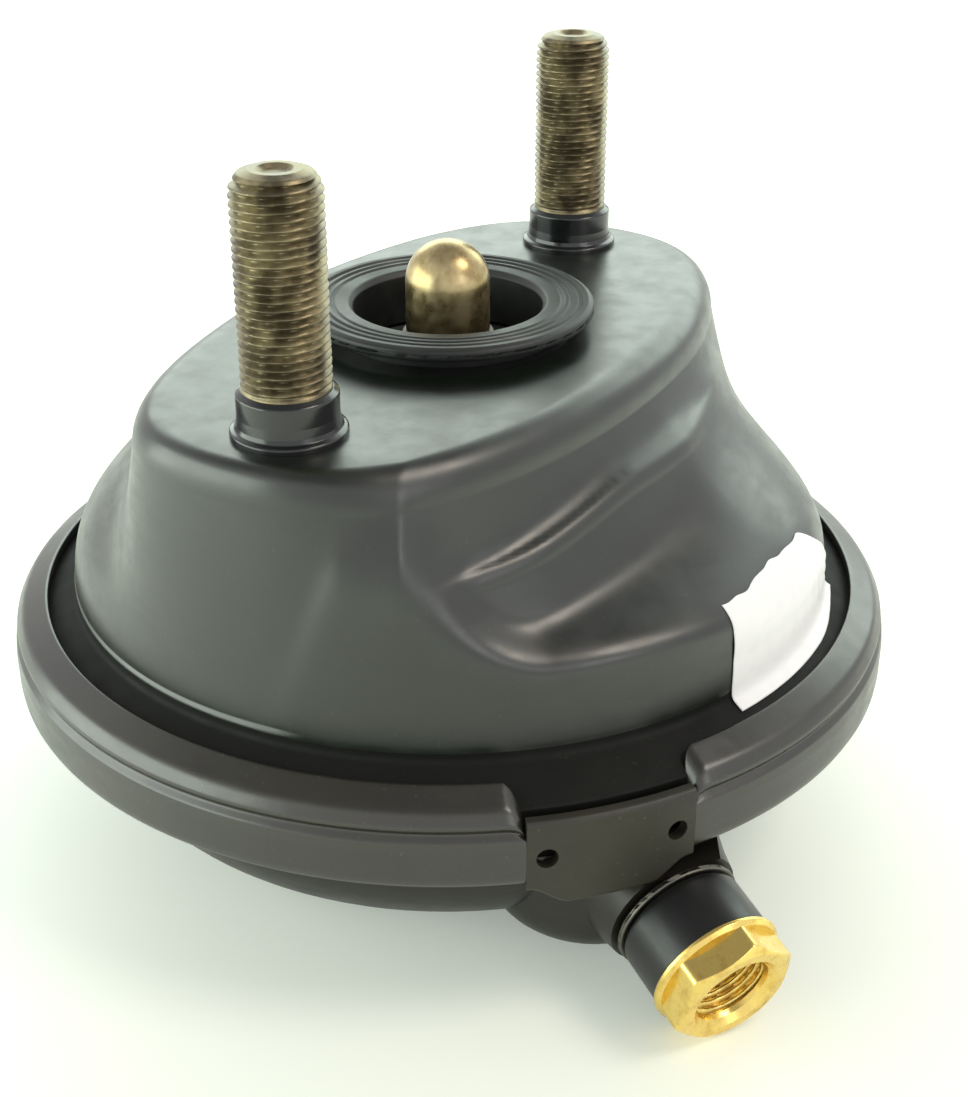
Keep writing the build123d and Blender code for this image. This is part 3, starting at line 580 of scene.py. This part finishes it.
bootSizes = {
    "bore": 19.1, "flange": 29.4, "top": 5.6, "under": 2.9, "neck": 24.0, "inner": 28.0,
    "low": -6.0, "innerTop": -3.3, "turns": 192,
    # the top's grooves as (radius, depth below the top, rounding), from the rim inwards
    "grooves": (
        (28.3, 0.0, 0.4), (27.3, 0.0, 0.25), (26.8, 0.75, 0.3), (26.2, 0.1, 0.3), (25.5, 0.05, 0.25),
        (25.0, 0.7, 0.3), (24.4, 0.15, 0.3), (23.7, 0.1, 0.25), (23.2, 0.6, 0.3), (22.6, 0.2, 0.4),
        (20.0, 0.35, 0.8),
    ),
}


def makeBootSeal():
    # a turned ring: inner flange, neck, outer flange, grooved top and bore
    size = bootSizes
    corners = [
        (size["bore"], size["low"], 0.2), (size["inner"], size["low"], 0.4),
        (size["inner"], size["innerTop"], 0.4), (size["neck"], size["innerTop"], 0.3),
        (size["neck"], size["under"], 0.6), (size["flange"], size["under"] + 0.1, 0.8),
        (size["flange"], size["top"] - 0.5, 0.9),
    ]
    corners += [(radius, size["top"] - depth, rounding) for radius, depth, rounding in size["grooves"]]
    corners.append((size["bore"], size["top"] - 1.4, 0.6))
    piece = turnedPiece(
        "bootSealRing", corners, rubberSeal, "chamber", count=size["turns"])
    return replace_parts(piece, "boot_seal")


bellowsSizes = {
    "narrow": 11.1, "wide": 19.5, "top": -6.6, "cuff": -44.0, "cuffLow": -49.0, "wall": 1.8,
    "folds": 5, "wave": 1.5, "rows": 60,
}


def makeBellows():
    # A cone with five soft folds: the radius narrows evenly and a sine wave rides on it
    size = bellowsSizes
    top, narrow = size["top"], size["narrow"]
    share = np.linspace(0.0, 1.0, size["rows"])
    swell = np.sqrt(np.clip(np.sin(np.pi * share), 0.0, 1.0))
    wave = size["wave"] * swell * np.sin(fullTurn * size["folds"] * share)
    inner = np.stack([
        narrow + (size["wide"] - narrow) * share + wave, size["cuff"] + (top - size["cuff"]) * share,
    ], 1)
    outer = inner[::-1] + np.array([size["wall"], 0.0])
    cuff = np.array([(narrow + size["wall"], size["cuffLow"]), (narrow, size["cuffLow"])])
    points = revolved(np.concatenate([inner, outer, cuff]), 128)
    piece = gridPiece("foldedBellows", points, True, True, rubberBellows, None)
    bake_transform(piece)
    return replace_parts(piece, "bellows")


rodSizes = {"radius": 8.5, "tip": 17.5, "low": -88.05, "rows": 28}


def makeRod():
    # cylinder with a half-sphere tip: the tip's path is r cos a, centre + r sin a
    radius, low = rodSizes["radius"], rodSizes["low"]
    centre = rodSizes["tip"] - radius
    sweep = np.linspace(0.0, np.pi / 2.0, rodSizes["rows"])
    dome = np.stack([radius * np.cos(sweep), centre + radius * np.sin(sweep)], 1)
    dome[-1, 0] = 0.0
    shaft = np.array([(0.0, low), (radius, low), (radius, -40.0), (radius, -10.0), (radius, 0.0)])
    points = revolved(np.concatenate([shaft, dome]), 128)
    piece = gridPiece("domedRod", points, True, False, rodGold, "push_rod")
    sharpEdges(piece, 50.0)
    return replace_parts(piece, "push_rod")


diaphragmSizes = {
    "rollTop": -60.0, "rollLow": -92.0, "step": 2.0,
    # (radius, height, rounding): under the plate, up the wall, round the rim and back
    "section": (
        (0.0, -93.2, 0.0), (60.0, -93.2, 8.0), (75.6, -57.69, 0.4), (88.3, -63.61, 0.3),
        (88.3, -59.97, 0.3), (72.6, -52.65, 2.0), (57.0, -90.2, 5.0), (0.0, -90.2, 0.0),
    ),
}


def makeDiaphragm():
    # Rubber cup whose rim lies between the flanges.
    size = diaphragmSizes
    path = densePath(roundedProfile(size["section"], closed=False), size["step"])
    points = revolved(path, 128)
    piece = gridPiece("rolledDiaphragm", points, True, False, rubberBellows, None)
    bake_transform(piece)
    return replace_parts(piece, "diaphragm")


springSizes = {
    "wire": 1.9, "small": 26.0, "large": 42.0, "top": -10.3, "low": -84.3, "coils": 4.5,
    "rows": 340, "sides": 16,
}


def makeSpring():
    # A round wire wound on a cone: its turn, height and radius all change evenly along it.
    size = springSizes
    share = np.linspace(0.0, 1.0, size["rows"])[:, None]
    aroundWire = evenTurns(size["sides"]).T
    radius = size["large"] + (size["small"] - size["large"]) * share + size["wire"] * np.cos(aroundWire)
    height = size["low"] + (size["top"] - size["low"]) * share + size["wire"] * np.sin(aroundWire)
    points = fromPolar(radius, fullTurn * size["coils"] * share, height)
    piece = gridPiece("conicalSpring", points, False, True, coatPlate, None, capEnds=True)
    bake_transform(piece)
    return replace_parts(piece, "return_spring")


makeBootSeal()
makeBellows()
makeRod()
makeDiaphragm()
makeSpring()
print("boot, rod and soft pieces ready")


# Clamp ring

ringSizes = {
    "jointTurn": -134.6, "jointSpan": 20.0, "endSpan": 2.4, "endRows": 14, "endPower": 1.7, "rows": 460,
    "seamRadius": 91.2, "seamLow": -61.2, "seamHigh": -58.4, "sunk": 0.94,
    # (radius, height, rounding): crest, groove, wall, lower lip and back inside
    "section": (
        (85.0, -52.53, 0.5), (90.4, -55.1, 3.4), (92.0, -57.7, 1.2), (91.15, -59.2, 0.5),
        (92.3, -60.5, 0.9), (92.5, -62.5, 3.0), (92.5, -71.4, 2.4), (84.6, -67.85, 0.4),
        (84.6, -65.5, 0.4), (90.2, -68.05, 0.6), (90.2, -60.8, 0.6), (89.2, -59.4, 0.4),
        (89.2, -56.92, 0.5), (85.0, -54.9, 0.5),
    ),
}


def makeClampRing():
    # The rolled section carried round, except over the lap joint. Near each end the part above
    # the groove sinks into the wall along a quarter circle, 1 - sqrt(1 - c^2), where c grows
    # from 0 to 1 over the end's few degrees. That rounds the lip's end.
    size = ringSizes
    path = roundedProfile(size["section"])
    half, endSpan = size["jointSpan"] / 2.0, size["endSpan"]
    start = size["jointTurn"] + half
    end = start + 360.0 - 2.0 * half
    fine = endSpan * np.linspace(0.0, 1.0, size["endRows"])[:-1] ** size["endPower"]
    along = np.linspace(start + endSpan, end - endSpan, size["rows"])
    angles = np.concatenate([start + fine, along, (end - fine)[::-1]])[:, None]
    closeness = np.clip(1.0 - np.minimum(angles - start, end - angles) / endSpan, 0.0, 1.0)
    above = smoothStep(path[None, :, 1], size["seamLow"], size["seamHigh"])
    sink = size["sunk"] * (1.0 - np.sqrt(1.0 - closeness ** 2)) * above
    radius = path[None, :, 0] + (size["seamRadius"] - path[None, :, 0]) * sink
    height = path[None, :, 1] + (size["seamLow"] - path[None, :, 1]) * sink
    points = fromPolar(radius, np.radians(angles), height)
    piece = gridPiece(
        "rolledClampRing", points, False, True, coatRing, "chamber", capEnds=True)
    sharpEdges(piece, 60.0)
    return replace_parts(piece, "clamp_ring")


plateSizes = {
    "outer": 92.5, "inner": 90.3, "top": -56.95, "low": -71.5, "edge": 0.9, "sideGap": 0.02,
    "acrossRows": 121, "downRows": 44, "tabDrop": 3.6, "tabTurns": (-9.6, -5.0, 4.6, 9.2),
    "holeRadius": 2.0, "holeTurn": 7.7, "holeHeight": -64.63, "holeLength": 8.0, "holeSides": 40,
}


def punchHoles(piece, places, radius, length, sides):
    # round holes along each (point, direction), cut once and kept in the mesh
    cutters = []
    for point, direction in places:
        work = bmesh.new()
        turn = Vector(direction).to_track_quat("Z", "Y").to_matrix().to_4x4()
        bmesh.ops.create_cone(
            work, cap_ends=True, segments=sides, radius1=radius * toMetres, radius2=radius * toMetres,
            depth=length * toMetres, matrix=Matrix.Translation(Vector(point) * toMetres) @ turn)
        mesh = bpy.data.meshes.new("holeCutter")
        work.to_mesh(mesh)
        work.free()
        cutter = bpy.data.objects.new("holeCutter", mesh)
        bpy.context.scene.collection.objects.link(cutter)
        cutters.append(cutter)
        cut = piece.modifiers.new("hole", "BOOLEAN")
        cut.operation, cut.object, cut.solver = "DIFFERENCE", cutter, "EXACT"
    bpy.context.view_layer.update()
    cutPiece = piece.evaluated_get(bpy.context.evaluated_depsgraph_get())
    punched = bpy.data.meshes.new_from_object(cutPiece)
    piece.modifiers.clear()
    piece.data = punched
    for cutter in cutters:
        bpy.data.objects.remove(cutter)


def makeJointPlate():
    # Pressed plate on the ring's wall. Its lower edge swells smoothly into a tab, and its outer face
    # rounds off near the top and the low edge by a quarter circle: e - sqrt(e^2 - (e - distance)^2).
    size = plateSizes
    half = ringSizes["jointSpan"] / 2.0 - size["sideGap"]
    across = half * np.sin(np.linspace(-0.5, 0.5, size["acrossRows"]) * np.pi)[:, None]
    down = 0.5 - 0.5 * np.cos(np.linspace(0.0, np.pi, size["downRows"]))[None, :]
    low = size["low"] - size["tabDrop"] * window(across, size["tabTurns"])
    height = size["top"] + (low - size["top"]) * down
    fromEdge = np.minimum(height - low, size["top"] - height)
    near = size["edge"] - np.clip(fromEdge, 0.0, size["edge"])
    fall = size["edge"] - np.sqrt(size["edge"] ** 2 - near ** 2)
    turn = np.radians(ringSizes["jointTurn"] + across)
    front = fromPolar(size["outer"] - fall, turn, height)
    back = fromPolar(np.full_like(height, size["inner"]), turn, height)
    piece = gridPiece(
        "pressedJointPlate", np.concatenate([front, back[:, ::-1]], 1), False, True, coatPlate,
        "chamber", capEnds=True)
    places = []
    for side in (-1.0, 1.0):
        turn = math.radians(ringSizes["jointTurn"] + side * size["holeTurn"])
        outward = (math.cos(turn), math.sin(turn), 0.0)
        middle = (size["outer"] * outward[0], size["outer"] * outward[1], size["holeHeight"])
        places.append((middle, outward))
    punchHoles(piece, places, size["holeRadius"], size["holeLength"], size["holeSides"])
    sharpEdges(piece, 45.0)
    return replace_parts(piece, "clamp_joint_plate")


makeClampRing()
makeJointPlate()
print("clamp ring ready")


# Air port. Levels run along its axis, with 0 at the mouth and negative values inwards.

portSizes = {
    "turn": -125.3, "tilt": 13.5, "reach": 109.5, "drop": -90.7,
    "hexFlats": 22.0, "hexTurn": 8.0, "hexLow": -5.5, "cornerTurn": 28.2, "cornerBlend": 0.12,
    "chamferStart": 0.35, "chamferSlope": 1.75, "chamferBlend": 0.1, "hexColumns": 288,
    "mouthRadius": 7.2, "threadRadius": 7.19, "threadDepth": 0.75, "threadPitch": 1.5,
    "grooveHalf": 0.42, "threadLevels": (-2.2, -11.0), "threadRows": 80,
    # (radius, level, rounding): the countersink, and then the bore's seat, tail and flange
    "countersink": ((8.75, 0.0, 0.25), (7.55, -1.2, 0.2)),
    "back": (
        (7.52, -11.2, 0.1), (7.52, -13.6, 0.3), (4.2, -13.6, 0.3), (4.2, -18.0, 0.2), (8.9, -18.0, 0.2),
        (8.9, -7.0, 0.2), (13.0, -7.0, 0.3), (13.0, -6.2, 0.4), (12.3, -5.5, 0.2),
    ),
    "body": (
        (8.95, -7.0, 0.2), (12.3, -7.0, 0.35), (12.3, -19.0, 1.6), (4.3, -19.0, 0.2), (4.3, -18.1, 0.1),
        (8.95, -18.1, 0.1),
    ),
    "collar": ((4.4, -19.0, 0.1), (12.6, -19.0, 0.35), (12.6, -20.2, 0.35), (4.4, -20.2, 0.1)),
}


def portPlace():
    # rotation and origin of the port: its Z runs outwards along the axis, origin at the mouth
    turn, tilt = math.radians(portSizes["turn"]), math.radians(portSizes["tilt"])
    around = np.array([math.cos(turn), math.sin(turn), 0.0])
    outward = math.cos(tilt) * around - np.array([0.0, 0.0, math.sin(tilt)])
    level = np.array([-math.sin(turn), math.cos(turn), 0.0])
    origin = portSizes["reach"] * around + np.array([0.0, 0.0, portSizes["drop"]])
    return np.stack([level, np.cross(outward, level), outward], 1), origin


def makeAdapter():
    # Six flats with a turned chamfer: the radius is the smaller of the flat, half the width over
    # cos of the angle from the flat's middle, and the cone of the chamfer. The bore's thread is
    # a radius that rises and falls once per pitch along a helix.
    size = portSizes
    turns = evenTurns(size["hexColumns"])
    flat, sixth = size["hexFlats"] / 2.0, fullTurn / 6.0
    toFlat = (turns + sixth / 2.0 + math.radians(size["hexTurn"])) % sixth - sixth / 2.0
    hexRadius = flat / np.cos(toFlat)
    corner = np.full_like(hexRadius, flat / math.cos(math.radians(size["cornerTurn"])))
    hexRadius = softMin(size["cornerBlend"], hexRadius, corner)
    hexLow, mouth = size["hexLow"], flat - size["chamferStart"]
    levels = np.concatenate([np.linspace(hexLow, -1.2, 6), np.linspace(-1.0, 0.0, 9)])[None, :]
    cone = mouth - levels * size["chamferSlope"]
    hexWall = softMin(size["chamferBlend"], *np.broadcast_arrays(hexRadius, cone))
    threadTop, threadLow = size["threadLevels"]
    inside = roundedProfile([
        (mouth, 0.0, 0.0), *size["countersink"], (size["mouthRadius"], threadTop, 0.0),
    ], closed=False)[1:-1]
    boreLevels = np.linspace(threadTop, threadLow, size["threadRows"])[None, :]
    phase = (boreLevels / size["threadPitch"] - turns / fullTurn) % 1.0
    groove = np.clip(1.0 - np.abs(phase - 0.5) / size["grooveHalf"], 0.0, 1.0)
    bore = size["threadRadius"] + size["threadDepth"] * groove
    back = roundedProfile([
        (size["mouthRadius"], threadLow, 0.0), *size["back"], (flat - 0.2, hexLow, 0.0),
    ], closed=False)[1:-1]
    radius = stretchedOver(len(turns), hexWall, inside[:, 0], bore, back[:, 0])
    height = np.concatenate([levels[0], inside[:, 1], boreLevels[0], back[:, 1]])[None, :]
    turnMatrix, origin = portPlace()
    points = fromPolar(radius, turns, height) @ turnMatrix.T + origin
    piece = gridPiece("brassAdapter", points, True, True, brassBare, "chamber")
    sharpEdges(piece, 28.0)
    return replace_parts(piece, "port_adapter")


def makePortBody():
    # the black tube that the adapter is screwed into
    piece = turnedPiece(
        "portBodyTube", portSizes["body"], coatPort, "chamber", portPlace())
    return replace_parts(piece, "port_body")


def makePortWasher():
    # the thin ring behind the tube
    piece = turnedPiece(
        "portCollar", portSizes["collar"], steelBright, "chamber", portPlace())
    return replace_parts(piece, "port_washer")


makeAdapter()
makePortBody()
makePortWasher()
print("port ready")


# Sticker on the bowl's wall, laid on the bonnet's own formula

stickerSizes = {
    "left": -111.6, "right": -73.5, "topDepth": 33.6, "tornTurn": -84.0, "tornSlope": 1.2,
    "tornEdge": ((0.3, 13.0, 0.0), (0.12, 41.0, 1.0)), "footDepth": 52.3, "onFlange": 3.3,
    "flangeLoss": 1.6, "flangeLossTurn": -90.0, "bend": 0.7, "lift": 0.22, "thick": 0.12,
    "wrinkle": 0.16, "acrossRows": 110, "downRows": 70,
}


def makeSticker():
    # A sheet that follows the bonnet's wall down to its foot and bends out onto the flange. Along
    # it, the way above the foot counts as negative, so two rounded ramps give its height and reach.
    size = stickerSizes
    flangeTurn = math.radians(bonnetSizes["flangeAngle"])
    across = np.linspace(0.0, 1.0, size["acrossRows"])[:, None]
    down = np.linspace(0.0, 1.0, size["downRows"])[None, :]
    angle = size["left"] + (size["right"] - size["left"]) * across
    ragged = sum(amount * np.sin(across * waves + shift) for amount, waves, shift in size["tornEdge"])
    torn = size["tornSlope"] * softRamp(angle - size["tornTurn"], 1.0)
    topDepth = size["topDepth"] + ragged + torn
    loss = size["flangeLoss"] * smoothStep(angle, size["flangeLossTurn"], size["right"])
    way = (topDepth - size["footDepth"]) * (1.0 - down) + (size["onFlange"] - loss) * down
    outward = softRamp(way, size["bend"])
    depth = size["footDepth"] - softRamp(-way, size["bend"]) + outward * math.sin(flangeTurn)
    tip = 1.0 / (1.0 + np.exp(-way / size["bend"]))
    normalOut, normalUp = 1.0 - tip * (1.0 - math.sin(flangeTurn)), tip * math.cos(flangeTurn)
    wrinkle = np.sin(across * 31.0 + down * 4.0) * np.sin(down * 11.0 + 1.0)
    top = size["lift"] + size["wrinkle"] * np.abs(wrinkle)
    wallRadius = bonnetRadius(angle, np.minimum(depth, bonnetSizes["bowlDepth"]))
    layers = []
    for lift in (top, top - size["thick"]):
        radius = wallRadius + outward * math.cos(flangeTurn) + lift * normalOut
        layers.append(fromPolar(radius, np.radians(angle), lift * normalUp - depth))
    points = np.concatenate([layers[0], layers[1][:, ::-1]], 1)
    return gridPiece("bareSticker", points, False, True, whiteFilm, "chamber", capEnds=True)


makeSticker()
print("sticker ready")


# Materials of the CAD nodes that stay as they are

plainNodes = {
    "pressure_housing": coatHousing, "spring_seat": steelBright, "push_plate": steelBright,
    "plate_boss": steelBright, "rod_clip": steelBright, "rod_sleeve": rubberBellows,
    "port_neck": coatPort, "port_o_ring": rubberBellows, "drain_plug": rubberBellows,
}
for nodeName, material in plainNodes.items():
    nodes[nodeName].data.materials.clear()
    nodes[nodeName].data.materials.append(material)


# Floor, light and camera. Lengths here are in metres, and the camera's place in millimetres.

sceneSizes = {
    "floor": -0.1025, "floorHalf": 3.0, "floorColours": ("#e6e9df", "#edf0e7"), "floorCloudMm": 400.0,
    # a painted shadow on the floor: its spot under the object's front, the span over which it fades, and the
    # glow inside and outside it
    "paintedShadowSpot": (-0.1, -0.07, -0.1025), "paintedShadowFadeSpan": (0.03, 0.26), "floorGlowShadowedToOpen": (0.24, 0.56),
    "worldLight": 0.55, "ceilingSpan": (0.6, 0.9), "ceiling": 0.35,
    "eye": (-295.52, -154.02, 123.62), "yaw": 0.45858, "pitchDown": 0.48387, "focalPixels": 1742.1,
    "longSidePixels": 1097.0, "sensor": 36.0, "clip": (0.01, 20.0),
}
lampTarget = (0.0, 0.0, -0.03)
lamps = {
    "panelBehind": {"spot": (1.36, 0.42, 0.64), "size": (2.6, 0.85), "watts": 19.0, "colour": "#ebfff1"},
    "panelLeft": {"spot": (-0.42, 0.5, 0.1), "size": (0.8, 0.4), "watts": 3.6, "colour": "#f0fff2"},
    "softboxAbove": {"spot": (0.1, -0.75, 0.93), "size": (0.45, 0.45), "watts": 4.6, "colour": "#fff4e6"},
    "softboxFront": {"spot": (-0.45, -1.2, 0.45), "size": (0.5, 0.5), "watts": 1.3, "colour": "#ffffff"},
}


def seenBackdrop(tree):
    # 1 for what the camera, a mirror or a glass sees of the backdrop, and 0 for what it lights
    paths = addNode(tree, "ShaderNodeLightPath").outputs
    seen = addNode(
        tree, "ShaderNodeMath", (paths["Is Camera Ray"], paths["Is Glossy Ray"]), operation="MAXIMUM")
    return addNode(
        tree, "ShaderNodeMath", (seen.outputs[0], paths["Is Transmission Ray"]), operation="MAXIMUM",
    ).outputs[0]


def makeFloor():
    # pale table paint; it glows faintly to the camera, and less near the object's front, which is a painted
    # shadow
    size = sceneSizes
    half, level = size["floorHalf"], size["floor"]
    corners = [(-half, -half, level), (half, -half, level), (half, half, level), (-half, half, level)]
    mesh = bpy.data.meshes.new("studioFloor")
    mesh.from_pydata(corners, [], [(0, 1, 2, 3)])
    floor = bpy.data.objects.new("studioFloor", mesh)
    bpy.context.scene.collection.objects.link(floor)
    material, tree, place = startMaterial("paleFloorPaint")
    clouds = addNode(tree, "ShaderNodeTexNoise", {
        "Vector": place, "Scale": 1.0 / (size["floorCloudMm"] * toMetres), "Detail": 2.0, "Roughness": 0.55,
    }).outputs["Fac"]
    first, second = size["floorColours"]
    colour = addNode(tree, "ShaderNodeMix", {0: clouds, 6: first, 7: second}, data_type="RGBA").outputs[2]
    # the glow is weakest at a spot under the object's front and rises away from it: a painted shadow
    away = addNode(tree, "ShaderNodeVectorMath", (place, size["paintedShadowSpot"]), operation="DISTANCE")
    glowWithPaintedShadow = addNode(
        tree, "ShaderNodeMapRange", (away.outputs["Value"], *size["paintedShadowFadeSpan"], *size["floorGlowShadowedToOpen"]),
        interpolation_type="SMOOTHSTEP",
    ).outputs["Result"]
    strength = addNode(tree, "ShaderNodeMath", (glowWithPaintedShadow, seenBackdrop(tree)), operation="MULTIPLY")
    endMaterial(tree, {
        "Base Color": colour, "Roughness": 0.7, "Specular IOR Level": 0.2,
        "Emission Color": "#f6fff4", "Emission Strength": strength.outputs[0],
    })
    mesh.materials.append(material)


def makeWorld():
    # white round the horizon, and above that a dimmer ceiling, by the height of the direction
    size = sceneSizes
    world = bpy.data.worlds.new("paleStudio")
    bpy.context.scene.world = world
    world.use_nodes = True
    tree = world.node_tree
    tree.nodes.clear()
    direction = addNode(tree, "ShaderNodeTexCoord").outputs["Generated"]
    upward = addNode(tree, "ShaderNodeSeparateXYZ", (direction,)).outputs["Z"]
    backdrop = addNode(
        tree, "ShaderNodeMapRange", (upward, *size["ceilingSpan"], 1.0, size["ceiling"]),
        interpolation_type="SMOOTHSTEP",
    ).outputs["Result"]
    strength = addNode(tree, "ShaderNodeMapRange", {
        "Value": seenBackdrop(tree), "To Min": size["worldLight"], "To Max": backdrop,
    }).outputs[0]
    back = addNode(tree, "ShaderNodeBackground", {"Color": "#ffffff", "Strength": strength})
    addNode(tree, "ShaderNodeOutputWorld", {"Surface": back.outputs[0]})


def makeLamp(name, spot, size, watts, colour):
    # a flat soft panel that faces the object
    data = bpy.data.lights.new(name, "AREA")
    data.shape, data.size, data.size_y = "RECTANGLE", size[0], size[1]
    data.energy = watts
    data.color = linearColour(colour)[:3]
    lamp = bpy.data.objects.new(name, data)
    bpy.context.scene.collection.objects.link(lamp)
    lamp.location = spot
    lamp.rotation_euler = (Vector(lampTarget) - Vector(spot)).to_track_quat("-Z", "Y").to_euler()


def makeCamera():
    # the photograph's own viewpoint, from its yaw and its pitch below the horizon
    size = sceneSizes
    yaw, pitch = size["yaw"], size["pitchDown"]
    level = Vector((math.cos(yaw), math.sin(yaw), 0.0))
    forward = math.cos(pitch) * level - Vector((0.0, 0.0, math.sin(pitch)))
    right = Vector((math.sin(yaw), -math.cos(yaw), 0.0))
    up = right.cross(forward)
    data = bpy.data.cameras.new("photoCamera")
    data.sensor_width = size["sensor"]
    data.lens = size["focalPixels"] * size["sensor"] / size["longSidePixels"]
    data.clip_start, data.clip_end = size["clip"]
    camera = bpy.data.objects.new("photoCamera", data)
    bpy.context.scene.collection.objects.link(camera)
    turn = Matrix((right, up, -forward)).transposed().to_4x4()
    camera.matrix_world = Matrix.Translation(Vector(size["eye"]) * toMetres) @ turn
    bpy.context.scene.camera = camera


makeFloor()
makeWorld()
for lampName, lamp in lamps.items():
    makeLamp(lampName, **lamp)
makeCamera()
bpy.context.scene.view_settings.view_transform = "Standard"
print("studio ready")
